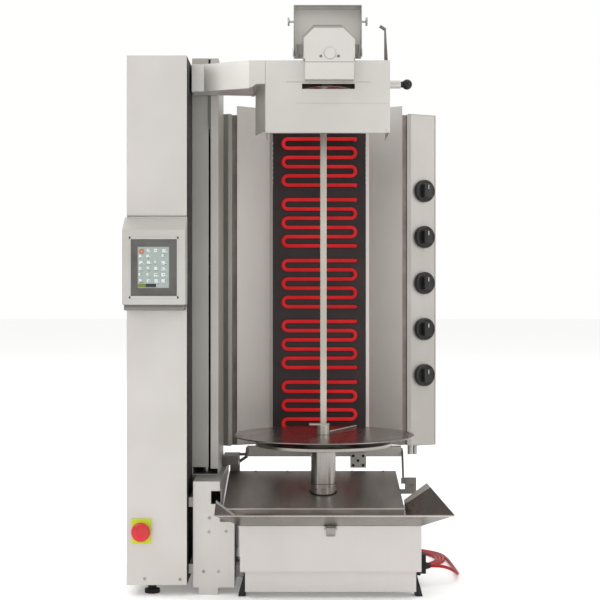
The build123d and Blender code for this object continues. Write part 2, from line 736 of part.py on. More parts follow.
def knife_motor():
    """Small motor of the knife, inside its housing."""
    base = arm_top + 5
    motor = rod_z(spindle_x, spindle_y, base, base + 28, 17) + rod_z(spindle_x, spindle_y, base, base + 5, 19)
    return motor - rod_z(spindle_x, spindle_y, base - 1, base + 20, spindle_radius + running)


def blade_disc():
    """Round knife with a bevelled edge, its hub and its spindle."""
    disc = rod_z(spindle_x, spindle_y, blade_z, blade_z + blade_thickness, blade_radius)
    disc = chamfer(disc.edges().sort_by(Axis.Z)[0], 1.2, 1.8)
    disc += rod_z(spindle_x, spindle_y, blade_z + blade_thickness, blade_z + 8, 11)
    return disc + rod_z(spindle_x, spindle_y, blade_z + 8, arm_top + 22, spindle_radius)


def knife_hood():
    """Folded U-shaped hood that tilts over the knife housing on two riveted pins."""
    t, base = sheet, hood_pivot_z - 10
    hood = block(hood_left, hood_right, hood_front, hood_back, base, hood_top)
    hood -= block(hood_left + t, hood_right - t, hood_front - 1, hood_back - t, base - 1, hood_top - t)
    for x, inside in ((hood_left, hood_left + 8), (hood_right, hood_right - 8)):
        outside = x - 2 if x < inside else x + 2
        hood += rod_x(min(x, outside), max(x, outside), hood_pivot_y, hood_pivot_z, 9)
        hood += rod_x(min(x, inside), max(x, inside), hood_pivot_y, hood_pivot_z, 4)
    return hood


def thumb_screws():
    """Two thumb screws in the hood's cheeks."""
    screws = []
    for x, out in ((hood_left, -1), (hood_right, 1)):
        near, far = x + out * 9, x + out * 13
        screws.append(rod_x(min(x, near), max(x, near), hood_pivot_y, 1219, 2.6))
        screws[-1] += rod_x(min(near, far), max(near, far), hood_pivot_y, 1219, 9.7)
    return Compound(children=[solid for item in screws for solid in item.solids()])


def lock_plunger():
    """Spring plunger with a ball knob, through the boss on the head's right side."""
    start, ball = head_right - 8, head_right + 39.5
    return rod_x(start, ball, plunger_y, plunger_z, plunger_radius) + Pos(ball, plunger_y, plunger_z) * Sphere(11)


def release_lever():
    """Thin tapered lever on the head's top, with a small tilted grip."""
    x, z, y = head_right - 5, arm_top + 6, plunger_y - 2
    stick = prism_y([(x - 4, z - 4), (x + 4, z - 4), (x - 0.5, 1193), (x - 4, 1193)], y, y + 4)
    stick += rod_y(x, plunger_y - 6, plunger_y + 6, z, 2)
    return stick + rod_between((x - 1, y + 2, 1189), (x - 13, y + 2, 1197), 3.4)


# ---------------------------------------------------------------- heater
def heater_x(offset_x):
    return heater_centre + offset_x


def mirrored_plan(points, side):
    """Points given by distance from the heater's middle plane, put on its left (-1) or right (+1)."""
    return [(heater_x(side * x), y) for x, y in points]


def heater_casing():
    """Sheet casing behind the heater: sides, back, top, bottom, and the fascia round the reflector."""
    t = sheet
    half = [(panel_outer_x, panel_outer_y), (panel_outer_x, heater_shoulder_y), (heater_back_x, heater_back_y)]
    wall = mirrored_plan(half, 1) + mirrored_plan(half, -1)[::-1]
    body = prism_z(band(wall, t), heater_bottom, heater_top)
    front = [(flange_outer_x, wing_front_y + 4), (flange_inner_x + 3, wing_front_y + 4),
             (flange_inner_x + 3, wing_front_y + 24), (wing_front_x - 3, wing_front_y + 24),
             (wing_fold_x + 1, reflector_y + 4)]
    plan = mirrored_plan(half, 1) + mirrored_plan(half, -1)[::-1] + mirrored_plan(front, -1)
    plan += mirrored_plan(front, 1)[::-1]
    body += prism_z(plan, heater_bottom, heater_bottom + t)
    body += prism_z(plan, heater_top - t, heater_top)
    y = reflector_y
    edge = wing_back_x
    body += block(heater_x(-edge), heater_x(edge), y, y + t, reflector_top, heater_top)
    body += block(heater_x(-edge), heater_x(edge), y, y + t, heater_bottom, reflector_bottom)
    for i in range(9):
        z = 900 + 12 * i
        body -= block(heater_x(-150), heater_x(150), heater_back_y - 5, heater_back_y + 1, z, z + 4)
    for x, y in ((207, 208), (219, 211)):
        body += rod_z(x, y, heater_bottom - 22, heater_bottom + 1, 5.4)
    return body


def wing(side):
    """Angled bright wing beside the reflector, folded back at its outer edge."""
    plan = [(wing_front_x, wing_front_y + 22), (wing_front_x, wing_front_y), (wing_fold_x, reflector_y),
            (wing_back_x + 0.3, reflector_y)]
    points = mirrored_plan(plan, side)
    if side > 0:
        points = points[::-1]
    return prism_z(band(points, sheet), heater_bottom + sheet, wing_top)


def wing_left():
    return wing(-1)


def wing_right():
    return wing(1)


def side_sheet(side):
    """Angled front sheet outside the wing, with a folded inner edge."""
    end = Vector(panel_outer_x, panel_outer_y) - panel_along * (sheet + gap)
    plan = [(flange_inner_x, wing_front_y + 20), (flange_inner_x, wing_front_y), (flange_outer_x, wing_front_y),
            (end.X, end.Y)]
    points = mirrored_plan(plan, side)
    if side < 0:
        points = points[::-1]
    return prism_z(band(points, sheet), heater_bottom + sheet, heater_top - sheet)


def side_panel_left():
    return side_sheet(-1)


panel_run = Vector(panel_outer_x - flange_outer_x, panel_outer_y - wing_front_y)
panel_along = panel_run.normalized()
panel_normal = Vector(panel_along.Y, -panel_along.X)
panel_middle = Vector(heater_x(flange_outer_x), wing_front_y) + panel_run * 0.5


def knob_plane(index):
    """A plane on the knob panel's outer face, at one knob's centre, facing out."""
    z = knob_first_z - knob_pitch * index
    return Plane(origin=(panel_middle.X, panel_middle.Y, z), x_dir=(0, 0, 1), z_dir=(panel_normal.X, panel_normal.Y, 0))


def knob_panel():
    """Right front sheet with five holes for the switches' shafts."""
    panel = side_sheet(1)
    for i in range(zone_count):
        panel -= knob_plane(i) * Cylinder(knob_shaft_radius + gap, 20)
    return panel


def rotary_switches():
    """One rotary switch behind each knob."""
    switches = []
    for i in range(zone_count):
        body = Pos(0, 0, -sheet - 14) * Box(34, 34, 28)
        body -= Pos(0, 0, -sheet - 10) * Cylinder(knob_shaft_radius + running, 22)
        switches.append(knob_plane(i) * body)
    return Compound(children=[solid for item in switches for solid in item.solids()])


def knob(index):
    """Round switch knob with a raised square grip, on its shaft."""
    body = Pos(0, 0, gap + 5) * Cylinder(knob_radius, 10)
    body = fillet(body.edges().sort_by(Axis.Z)[-1], 2.5)
    grip = Pos(0, 0, gap + 16) * Box(30, 22, 14)
    grip = fillet(grip.edges().sort_by(Axis.Z)[-4:], 2)
    shaft = Pos(0, 0, -8) * Cylinder(knob_shaft_radius, 18)
    return knob_plane(index) * (body + grip + shaft)


def reflector_panel():
    """Black panel with rounded top corners that carries the heating elements."""
    edge = wing_back_x - 0.2
    panel = block(heater_x(-edge), heater_x(edge), reflector_y, reflector_y + 3, reflector_bottom, reflector_top)
    panel = fillet(panel.edges().filter_by(Axis.Y).sort_by(Axis.Z)[-2:], 12)
    for zone in range(zone_count):
        for line in (0, element_lines - 1):
            x, z = element_end(zone, line)
            panel -= rod_y(x, reflector_y - 1, reflector_y + 5, z, element_radius + 1)
    return panel


def element_end(zone, line):
    """Where a free end of one zone's element turns back through the panel."""
    z = zone_first_z - zone_pitch * zone - element_pitch * line
    return heater_x(element_half_width - element_radius), z


def heating_element(zone):
    """One zone's tube: six level runs joined by round bends, its two ends through the panel."""
    bend = element_pitch / 2
    reach = element_half_width - element_radius - bend
    solid = None
    for line in range(element_lines):
        end_x, z = element_end(zone, line)
        right = end_x if line in (0, element_lines - 1) else heater_x(reach)
        run = rod_x(heater_x(-reach), right, element_y, z, element_radius)
        solid = run if solid is None else solid + run
        if line in (0, element_lines - 1):
            solid += rod_y(end_x, element_y, reflector_y + 30, z, element_radius)
            solid += Pos(end_x, element_y, z) * Sphere(element_radius)
        if line < element_lines - 1:
            side = -1 if line % 2 == 0 else 1
            ring = Pos(heater_x(side * reach), element_y, z - bend) * Rot(90, 0, 0) * Torus(bend, element_radius)
            x0, x1 = (-400, 0) if side < 0 else (0, 400)
            keep = block(heater_x(side * reach) + x0, heater_x(side * reach) + x1, element_y - 20,
                         element_y + 20, z - 60, z + 60)
            solid += ring & keep
    return solid


def heating_elements():
    """The five zones' elements, as separate tubes."""
    tubes = [heating_element(zone) for zone in range(zone_count)]
    return Compound(children=[solid for tube in tubes for solid in tube.solids()])


def crossbar():
    """Square tube under the heater with two rails that the casing slides on, and a lock plate."""
    x0, x1, y, z = -175.0, 185.0, crossbar_y, crossbar_bottom
    bar = block(x0, x1, y - 12, y + 12, z, z + 23) - block(x0 - 1, x1 + 1, y - 10, y + 10, z + 2, z + 21)
    for x in (-120, 95):
        bar += block(x, x + 20, y + 12, heater_back_y, z + 6, heater_bottom - 0.4)
    bar += block(66, 103, y - 15, y - 12, z - 26, z + 9)
    for x, dz in ((73, -20), (96, -20), (73, 2), (96, 2), (84, -9)):
        bar += rod_y(x, y - 17, y - 14, z + dz, 3)
    return bar


def heater_brackets():
    """Block on the mast that carries the crossbar's left end, and the strut to the tray at its right end."""
    block_left = block(mast_right, -192, 118, 205, mast_bottom + 1, 257)
    block_left += block(leg_right + 4, -192, 175, 205, 207, 257)
    block_left += rod_x(-193, -175, crossbar_y, crossbar_bottom + 4, 3.5)
    block_left += rod_between((-196, 178, 236), (-176, 174, 250), 3.5)
    block_left += rod_between((-176, 174, 250), (-174, 174, 272), 3.5)
    block_left += Pos(-176, 174, 250) * Sphere(3.5)
    strut = rod_between((188, crossbar_y, 262), (tray_right + 8, 26, 216), 2.5)
    strut += block(tray_right, tray_right + 36, 18, 22, 186, 196)
    strut += block(tray_right + 11, tray_right + 36, 18, 22, 186, 222)
    strut += block(tray_right + 3, tray_right + 15, 20, 28, 208, 220)
    strut -= block(tray_right + 20, tray_right + 29, 17, 19.5, 203, 208)
    strut += block(185, 189, crossbar_y - 6, crossbar_y + 6, 256, 268)
    return Compound(children=list(block_left.solids()) + list(strut.solids()))


# ---------------------------------------------------------------- mains lead
cord_points = [cord_exit, (252, -48, 40), (272, -38, 33), (288, -18, 22), (297, 10, 11), (300, 42, 5.6),
               (300.5, 76, 4.0), (300, 110, 3.7), (299, 143, 3.6), (297.5, 176, 3.55), (296.5, 207, 3.5)]


def cord_lead():
    """The stretch of the mains lead between its strain relief and the coil."""
    points = [Vector(*point) for point in cord_points]
    radii = []
    for before, corner, after in zip(points, points[1:], points[2:]):
        turn = radians((corner - before).get_angle(after - corner))
        shorter = min((corner - before).length, (after - corner).length)
        radii.append(0.45 * shorter / tan(turn / 2))
    print("lead radii", [round(radius, 1) for radius in radii])
    path = FilletPolyline(*cord_points, radius=radii)
    profile = Plane(origin=cord_points[0], z_dir=points[1] - points[0]) * Circle(cord_diameter / 2)
    tube = sweep(profile, path)
    print("lead volume over section times length", tube.volume / (pi * cord_diameter ** 2 / 4 * path.length))
    return tube


def cord_coil():
    """Outer shape of the lead's put-away coil, flat on the floor."""
    x, y = coil_centre
    return rod_z(x, y, 0, coil_height, coil_outer_radius) - rod_z(x, y, -1, coil_height + 1, coil_inner_radius)


def cord_plug():
    """Round mains plug that lies inside the coil."""
    x, y, z = coil_centre[0] - 50, coil_centre[1] - 20, plug_radius
    body = rod_y(x, y - 24, y + 22, z, plug_radius)
    body = fillet(body.edges().sort_by(Axis.Y)[-1], 4)
    body += Pos(x, y + 22 + 16, z) * Rot(-90, 0, 0) * Cone(12, cord_diameter / 2 + 1.5, 32)
    for dx, dz in ((-7, -4), (7, -4), (0, 8)):
        body += rod_y(x + dx, y - 42, y - 24, z + dz, 2.4)
    return body


# ---------------------------------------------------------------- assembly
CORD_NODES = {"cord_lead": cord_lead, "cord_coil": cord_coil, "cord_plug": cord_plug}
NODES = [cabinet_shell, base_plinth, feet, cable_inlet, gear_motor, column_sleeve, shaft_bearings,
         turntable_hub, turntable_plate, skewer, skewer_clip, tray_floor, tray_gutter, tray_latch,
         panel_screws, leg_panel, column_casing, column_back_cover, control_module, screen_housing,
         screen_bezel, screen_panel, estop_plate, estop_button, mast_frame, mast_panel, mast_strip,
         guide_rails, lift_motor, lift_pulley_lower, lift_pulley_upper, lift_belt, carriage, arm_beam,
         head_cover, knife_housing, knife_motor, blade_disc, knife_hood, thumb_screws, lock_plunger,
         release_lever, heater_casing, wing_left, wing_right, side_panel_left, knob_panel, rotary_switches,
         reflector_panel, heating_elements, crossbar, heater_brackets]


def build():
    """Every node's solids, in the row's frame."""
    shapes = {maker.__name__: maker() for maker in NODES}
    for index in range(zone_count):
        shapes[f"knob_{index + 1}"] = knob(index)
    boxes = [shape.bounding_box() for shape in shapes.values()]
    middle_x = (min(box.min.X for box in boxes) + max(box.max.X for box in boxes)) / 2
    middle_y = (min(box.min.Y for box in boxes) + max(box.max.Y for box in boxes)) / 2
    print("origin shift", round(-middle_x, 3), round(-middle_y, 3))
    for name, maker in CORD_NODES.items():
        shapes[name] = maker()
    return {name: Pos(-middle_x, -middle_y, 0) * shape for name, shape in shapes.items()}


if __name__ == "__main__":
    os.makedirs("parts", exist_ok=True)
    for name, shape in build().items():
        export_step(shape, f"parts/{name}.step")
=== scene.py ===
"""The looks of the vertical rotisserie broiler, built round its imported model."""
import math
import random

import bpy
from mathutils import Matrix, Vector


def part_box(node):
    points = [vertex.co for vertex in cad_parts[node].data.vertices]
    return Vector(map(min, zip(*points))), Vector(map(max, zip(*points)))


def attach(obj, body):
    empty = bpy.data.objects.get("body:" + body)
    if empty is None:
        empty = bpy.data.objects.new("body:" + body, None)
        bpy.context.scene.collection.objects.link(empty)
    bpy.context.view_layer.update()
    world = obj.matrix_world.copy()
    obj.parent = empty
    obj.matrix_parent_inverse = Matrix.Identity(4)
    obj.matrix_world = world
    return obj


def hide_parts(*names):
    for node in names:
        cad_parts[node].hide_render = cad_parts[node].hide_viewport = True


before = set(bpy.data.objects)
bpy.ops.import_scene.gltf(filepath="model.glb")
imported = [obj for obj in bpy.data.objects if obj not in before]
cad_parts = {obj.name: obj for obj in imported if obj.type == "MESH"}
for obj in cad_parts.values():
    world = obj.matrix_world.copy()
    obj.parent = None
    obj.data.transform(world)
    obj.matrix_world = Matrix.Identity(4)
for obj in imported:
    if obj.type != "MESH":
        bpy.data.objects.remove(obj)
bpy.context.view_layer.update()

random.seed(7)

# The view is level, straight on and a little left of the skewer, from about three metres away.
# The floor is pale and plain, and the light comes from large soft panels above, left and right.
skewer_low, skewer_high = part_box("skewer")
axis_x = (skewer_low[0] + skewer_high[0]) / 2
axis_y = (skewer_low[1] + skewer_high[1]) / 2
view_distance, view_shift, eye_height = 2.948, 0.0513, 0.615
camera_data = bpy.data.cameras.new("camera")
camera_data.lens = 80.4
camera_data.sensor_width = 36
camera = bpy.data.objects.new("camera", camera_data)
camera.location = (axis_x - view_shift, axis_y - view_distance, eye_height)
camera.rotation_euler = (math.pi / 2, 0, 0)
bpy.context.collection.objects.link(camera)
bpy.context.scene.camera = camera
bpy.context.scene.view_settings.view_transform = "Standard"


class Value:
    """An output socket that takes part in sums: + - * / add Math nodes to its tree."""

    def __init__(self, finish, socket):
        self.finish = finish
        self.socket = socket

    def math(self, operation, first, second=0.0):
        return self.finish.add("ShaderNodeMath", {"operation": operation}, {0: first, 1: second})

    def __add__(self, other):
        return self.math("ADD", self, other)

    __radd__ = __add__

    def __sub__(self, other):
        return self.math("SUBTRACT", self, other)

    def __rsub__(self, other):
        return self.math("SUBTRACT", other, self)

    def __mul__(self, other):
        return self.math("MULTIPLY", self, other)

    __rmul__ = __mul__

    def __truediv__(self, other):
        return self.math("DIVIDE", self, other)

    def size(self):
        """The value without its sign."""
        return self.math("ABSOLUTE", self)

    def clamp(self):
        return self.finish.add("ShaderNodeClamp", {}, {"Value": self})


class Finish:
    """One material: its tree, its shader, and the one method that adds every other node."""

    def __init__(self, name):
        self.material = bpy.data.materials.new(name)
        self.material.use_nodes = True
        self.tree = self.material.node_tree
        self.shader = self.tree.nodes["Principled BSDF"]
        self.place = self.add("ShaderNodeTexCoord", {}, {}, "Object")

    def add(self, kind, settings, inputs, output=0):
        node = self.tree.nodes.new(kind)
        for name, value in settings.items():
            if name == "stops":
                ramp = node.color_ramp
                while len(ramp.elements) < len(value):
                    ramp.elements.new(0.5)
                for element, (position, colour) in zip(ramp.elements, value):
                    element.position = position
                    element.color = (*colour, 1)
            else:
                setattr(node, name, value)
        for name, value in inputs.items():
            self.join(value, node.inputs[name])
        return Value(self, node.outputs[output])

    def join(self, value, socket):
        if isinstance(value, Value):
            self.tree.links.new(value.socket, socket)
        elif hasattr(value, "__len__") and socket.type == "RGBA":
            socket.default_value = (*value, 1)[:4]
        else:
            socket.default_value = value

    def set(self, **inputs):
        for name, value in inputs.items():
            self.join(value, self.shader.inputs[name.replace("_", " ")])

    def noise(self, scale, stretch=(1, 1, 1), detail=4.0, roughness=0.6):
        spot = self.add("ShaderNodeMapping", {}, {"Vector": self.place, "Scale": stretch})
        return self.add("ShaderNodeTexNoise", {}, {"Vector": spot, "Scale": scale, "Detail": detail,
                                                    "Roughness": roughness})

    def mix(self, factor, first, second):
        return self.add("ShaderNodeMix", {"data_type": "RGBA"}, {0: factor, 6: first, 7: second}, 2)

    def ramp(self, value, stops):
        return self.add("ShaderNodeValToRGB", {"stops": stops}, {"Fac": value})

    def bump(self, height, strength, distance=0.001, edge=0.0):
        inputs = {"Height": height, "Strength": strength, "Distance": distance}
        if edge:
            inputs["Normal"] = self.add("ShaderNodeBevel", {"samples": 4}, {"Radius": edge})
        self.set(Normal=self.add("ShaderNodeBump", {}, inputs))


def place_on(finish, *nodes):
    """Gives CAD nodes their material."""
    for name in nodes:
        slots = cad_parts[name].data.materials
        slots.clear()
        slots.append(finish.material)


def smudged(finish, tone, dark, scale=3.0, low=0.42, high=0.62):
    """Two tones of one metal, mixed by broad soft patches, as handling and cleaning leave them."""
    patches = finish.noise(scale, detail=3.0)
    spread = ((patches - low) / (high - low)).clamp()
    return finish.mix(spread, dark, tone)


def brushed(name, tone, dark, along="Z", metallic=0.75, rough=0.42, grain=0.05, edge=0.0015):
    """Brushed stainless sheet: long fine scratches along one axis over soft broad patches."""
    finish = Finish(name)
    stretch = {"X": (6, 500, 500), "Y": (500, 6, 500), "Z": (500, 500, 6)}[along]
    lines = finish.noise(1.0, stretch, detail=3.0, roughness=0.7)
    prints = finish.noise(9.0, detail=6.0, roughness=0.7)
    colour = smudged(finish, tone, dark)
    shade = finish.mix(((lines - 0.5) * 0.4 + 0.1).clamp(), colour, dark)
    finish.set(Base_Color=shade, Metallic=metallic)
    finish.set(Roughness=(rough + (lines - 0.5) * 0.25 + (prints - 0.5) * 0.18).clamp())
    finish.bump(lines, grain, 0.0004, edge)
    return finish


def area_light(name, spot, aim, size, power, colour=(1, 1, 1)):
    data = bpy.data.lights.new(name, "AREA")
    data.shape = "RECTANGLE"
    data.size, data.size_y = size
    data.energy = power
    data.color = colour
    lamp = bpy.data.objects.new(name, data)
    lamp.location = spot
    lamp.rotation_euler = (Vector(aim) - Vector(spot)).to_track_quat("-Z", "Y").to_euler()
    bpy.context.collection.objects.link(lamp)


area_light("key_left", (-2.4, -2.4, 2.6), (0, 0, 0.6), (1.8, 2.4), 30)
area_light("fill_right", (2.8, -2.0, 1.8), (0, 0, 0.6), (1.6, 2.4), 24)
area_light("top_soft", (0, 1.0, 6.5), (0, 1.0, 0), (11, 11), 250)
world = bpy.data.worlds.new("studio")
bpy.context.scene.world = world
world.use_nodes = True
sky = world.node_tree.nodes["Background"]
direction = world.node_tree.nodes.new("ShaderNodeTexCoord")
split = world.node_tree.nodes.new("ShaderNodeSeparateXYZ")
backness = world.node_tree.nodes.new("ShaderNodeMapRange")
backness.inputs["From Min"].default_value = -1
walls = world.node_tree.nodes.new("ShaderNodeValToRGB")
walls.color_ramp.elements[0].color = (0.85, 0.85, 0.84, 1)
walls.color_ramp.elements[1].color = (1, 1, 0.995, 1)
for stop, shade in ((0.5, 0.78), (0.78, 0.92), (0.9, 1.0)):
    walls.color_ramp.elements.new(stop).color = (shade, shade, shade * 0.99, 1)
world.node_tree.links.new(direction.outputs["Generated"], split.inputs["Vector"])
world.node_tree.links.new(split.outputs["Y"], backness.inputs["Value"])
world.node_tree.links.new(backness.outputs["Result"], walls.inputs["Fac"])
world.node_tree.links.new(walls.outputs["Color"], sky.inputs["Color"])
bpy.ops.object.select_all(action="DESELECT")
bpy.ops.mesh.primitive_plane_add(size=80, location=(0, 0, -0.0005))
floor = bpy.context.object
floor.name = "floor"
paper = Finish("floor_paper")
paper.set(Base_Color=paper.mix(paper.noise(30), (0.93, 0.93, 0.925), (0.95, 0.95, 0.945)), Roughness=0.9,
          Emission_Color=(1, 1, 0.995), Emission_Strength=0.14)
floor.data.materials.append(paper.material)


# The base cabinet is a plain folded box of light brushed stainless on a recessed plinth.  It stands on
# wedge-shaped rubber feet, and a tapered black strain relief lets the lead in on its right wall.
def hex_tone(code):
    """A colour given as six hex digits, as the linear values that shaders take."""
    parts = [int(code[i:i + 2], 16) / 255 for i in (0, 2, 4)]
    return tuple(((c + 0.055) / 1.055) ** 2.4 if c > 0.04045 else c / 12.92 for c in parts)


def moulded(name, tone, dark, rough=0.5, grain_scale=900, grain=0.08, coat=0.0):
    """Moulded plastic or rubber: a fine pebbled skin, dull in patches where hands and dust have been."""
    finish = Finish(name)
    pebble = finish.noise(grain_scale, detail=2.0)
    finish.set(Base_Color=smudged(finish, tone, dark, 14.0), Coat_Weight=coat, Specular_IOR_Level=0.3)
    finish.set(Roughness=(rough + (finish.noise(18.0) - 0.5) * 0.3).clamp())
    finish.bump(pebble, grain, 0.0003, 0.0006)
    return finish


panel_steel = brushed("panel_steel", hex_tone("CDC9C6"), hex_tone("C5C1BD"), "Z")
rubber = moulded("foot_rubber", hex_tone("1B1A1A"), hex_tone("2A2827"), 0.7, 500, 0.15)
place_on(panel_steel, "cabinet_shell", "base_plinth")
place_on(rubber, "feet", "cable_inlet")


# The mains lead is a round red rubber cable.  It comes down from the strain relief to the floor behind
# the cabinet's right side, and its spare length lies there in a flat coil with the plug inside.
def at(x, y, z):
    """A point given in millimetres from the skewer's axis and the floor, in the shared frame."""
    return Vector((axis_x + x / 1000, axis_y + y / 1000, z / 1000))


def lathe(name, profile, spot=(0, 0, 0), turn=(0, 0, 0), steps=96):
    """A turned piece: its half outline is drawn point by point in millimetres, then spun."""
    bpy.ops.object.select_all(action="DESELECT")
    bpy.ops.mesh.primitive_plane_add(size=1)
    piece = bpy.context.object
    piece.name = name
    bpy.ops.object.mode_set(mode="EDIT")
    bpy.ops.mesh.select_all(action="SELECT")
    bpy.ops.mesh.merge(type="CENTER")
    bpy.ops.transform.translate(value=(profile[0][0] / 1000, 0, profile[0][1] / 1000))
    for (radius, height), (next_radius, next_height) in zip(profile, profile[1:]):
        move = ((next_radius - radius) / 1000, 0, (next_height - height) / 1000)
        bpy.ops.mesh.extrude_vertices_move(TRANSFORM_OT_translate={"value": move})
    bpy.ops.mesh.select_all(action="SELECT")
    bpy.ops.mesh.spin(steps=steps, angle=2 * math.pi, center=(0, 0, 0), axis=(0, 0, 1))
    settle(piece)
    piece.rotation_euler = turn
    piece.location = spot
    bpy.ops.object.transform_apply(location=True, rotation=True, scale=True)
    return piece


def settle(piece):
    """Merges seams, turns the normals outward and leaves edit mode."""
    bpy.ops.mesh.select_all(action="SELECT")
    bpy.ops.mesh.remove_doubles(threshold=1e-6)
    bpy.ops.mesh.normals_make_consistent(inside=False)
    bpy.ops.object.mode_set(mode="OBJECT")
    bpy.ops.object.shade_smooth_by_angle(angle=math.radians(28))


def bar(name, low, high, edge=0.4, rounds=2):
    """A block between two corners in millimetres, with its edges rounded."""
    bpy.ops.object.select_all(action="DESELECT")
    bpy.ops.mesh.primitive_cube_add(size=1, location=(at(*low) + at(*high)) / 2)
    piece = bpy.context.object
    piece.name = name
    piece.scale = at(*high) - at(*low)
    bpy.ops.object.transform_apply(location=True, rotation=True, scale=True)
    bpy.ops.object.mode_set(mode="EDIT")
    bpy.ops.mesh.select_all(action="SELECT")
    if edge:
        bpy.ops.mesh.bevel(offset=edge / 1000, segments=rounds, affect="EDGES")
    settle(piece)
    return piece


def joined(name, *parts):
    """Several meshes as one piece."""
    bpy.ops.object.select_all(action="DESELECT")
    for part in parts:
        part.select_set(True)
    bpy.context.view_layer.objects.active = parts[0]
    bpy.ops.object.join()
    parts[0].name = name
    return parts[0]


def fit(piece, finish, body, slot, *nodes):
    """Gives a new piece its finish, its moving body and the CAD nodes that it stands for; the slot argument
    is not used.
    """
    piece.data.materials.clear()
    piece.data.materials.append(finish.material)
    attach(piece, body)
    if nodes:
        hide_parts(*nodes)
    return piece


lead_exit = at(231, -48, 40)
down_to_floor = (
    (252, -48, 40), (272, -38, 33), (288, -18, 22), (297, 10, 11), (300, 42, 5.6), (300.5, 76, 4.0),
    (300, 110, 3.7), (299, 143, 3.6), (297.5, 176, 3.6), (296.5, 207, 3.6))
up_to_plug = (
    (131.5, 313.5, 4.6), (124.5, 305.5, 6.8), (121.0, 295.5, 10.6), (120.1, 284.5, 15.0),
    (120, 273, 18.2), (120, 262, 19), (120, 255, 19))
coil_x, coil_y, coil_height = 170, 225, 3.7
coil_start, coil_pitch = 126.8, 8.1
full_turns, turn_steps, peel_steps = 3, 20, 6
coil_angle = full_turns * 2 * math.pi + math.radians(107)
coil_steps = full_turns * turn_steps + peel_steps
lead_route = [lead_exit] + [at(*point) for point in down_to_floor]
for step in range(1, coil_steps + 1):
    angle = coil_angle * step / coil_steps
    radius = coil_start - coil_pitch * angle / (2 * math.pi)
    spot = (coil_x + radius * math.cos(angle), coil_y + radius * math.sin(angle), coil_height)
    lead_route.append(at(*spot))
lead_route += [at(*point) for point in up_to_plug]
cord_radius = 0.0035
cable_curve = bpy.data.curves.new("mains_lead", "CURVE")
cable_curve.dimensions = "3D"
spline = cable_curve.splines.new("NURBS")
spline.points.add(len(lead_route) - 1)
for point, place in zip(spline.points, lead_route):
    point.co = (*place, 1)
spline.order_u = 3
spline.use_endpoint_u = True
spline.resolution_u = 6
cable_curve.bevel_depth = cord_radius
cable_curve.bevel_resolution = 5
cable_curve.use_fill_caps = True
cable = bpy.data.objects.new("mains_lead", cable_curve)
bpy.context.collection.objects.link(cable)
red_rubber = moulded("red_rubber", hex_tone("B0141B"), hex_tone("930F16"), 0.45, 1400, 0.05)
fit(cable, red_rubber, "root", "cord_red", "cord_lead", "cord_coil")
black_plastic = moulded("black_plastic", hex_tone("232222"), hex_tone("2E2D2C"), 0.42, 1100, 0.06)
plug_x, plug_y, plug_height = 120, 203, 19
facing_front = (math.pi / 2, 0, 0)
plug_profile = [
    (0, 22), (14, 22), (17.6, 21), (19, 18.5), (19, 6), (18.2, 5), (18.2, 1), (19, 0), (19, -18),
    (18.4, -20.5), (15, -22), (12.2, -23)]
for groove in range(6):
    top = -25 - groove * 4.6
    wide = 11.8 - groove * 1.0
    plug_profile += [(wide, top), (wide, top - 2.6), (wide - 1.4, top - 3.0), (wide - 1.4, top - 4.2)]
plug_profile += [(4.6, -53.6), (0, -54)]
plug = lathe("mains_plug", plug_profile, at(plug_x, plug_y, plug_height), facing_front, 64)
pin_profile = [(0, 0), (2.2, 0), (2.2, 16.5), (1.6, 18), (0, 18)]
pins = []
for dx, dz in ((-7, -4), (7, -4), (0, 8)):
    pins.append(lathe("pin", pin_profile, at(plug_x + dx, 181.2, plug_height + dz), facing_front, 24))
fit(plug, black_plastic, "root", "black_plastic", "cord_plug")
bright_steel = brushed("bright_steel", hex_tone("C9C6C2"), hex_tone("A9A5A1"), "Z", 0.95, 0.25, 0.03)
pins = fit(joined("plug_pins", *pins), bright_steel, "root", "steel_bright")


# The leg and the tall control column are folded from the same light sheet as the cabinet.  The leg's
# notch shows the dark inside, and the column holds the controls and the lift's motor.
deep_grey = moulded("deep_grey", hex_tone("2B2826"), hex_tone("1F1D1C"), 0.6)
cast = Finish("cast_aluminium")
cast.set(Base_Color=smudged(cast, hex_tone("8E8C89"), hex_tone("777572"), 20), Metallic=0.8)
cast.set(Roughness=(0.5 + (cast.noise(60) - 0.5) * 0.3).clamp())
cast.bump(cast.noise(700, detail=2), 0.15, 0.0004, 0.0008)
screw_steel = brushed("screw_steel", hex_tone("BEBBB6"), hex_tone("8F8B86"), "X", 0.95, 0.3, 0.02, 0.0003)
place_on(panel_steel, "leg_panel", "column_casing", "column_back_cover")
place_on(screw_steel, "panel_screws")
place_on(cast, "gear_motor", "lift_motor", "knife_motor", "carriage")
place_on(cast, "lift_pulley_lower", "lift_pulley_upper")
place_on(deep_grey, "control_module", "rotary_switches", "lift_belt")
place_on(bright_steel, "guide_rails", "shaft_bearings")
# A thin dark sheet on the column's right side wall is painted shade for the narrow gap beside the mast.
shade_sheet = bar("column_side_shade_sheet", (-285.9, -168, 26), (-285.3, -47.5, 1120), 0.15)
fit(shade_sheet, deep_grey, "root", "black_rubber")
shadow_gap = bar("column_seam_shadow", (-409.6, -170.3, 787.5), (-286.9, -169.8, 789.2), 0)
fit(shadow_gap, cast, "root", "steel_brushed")


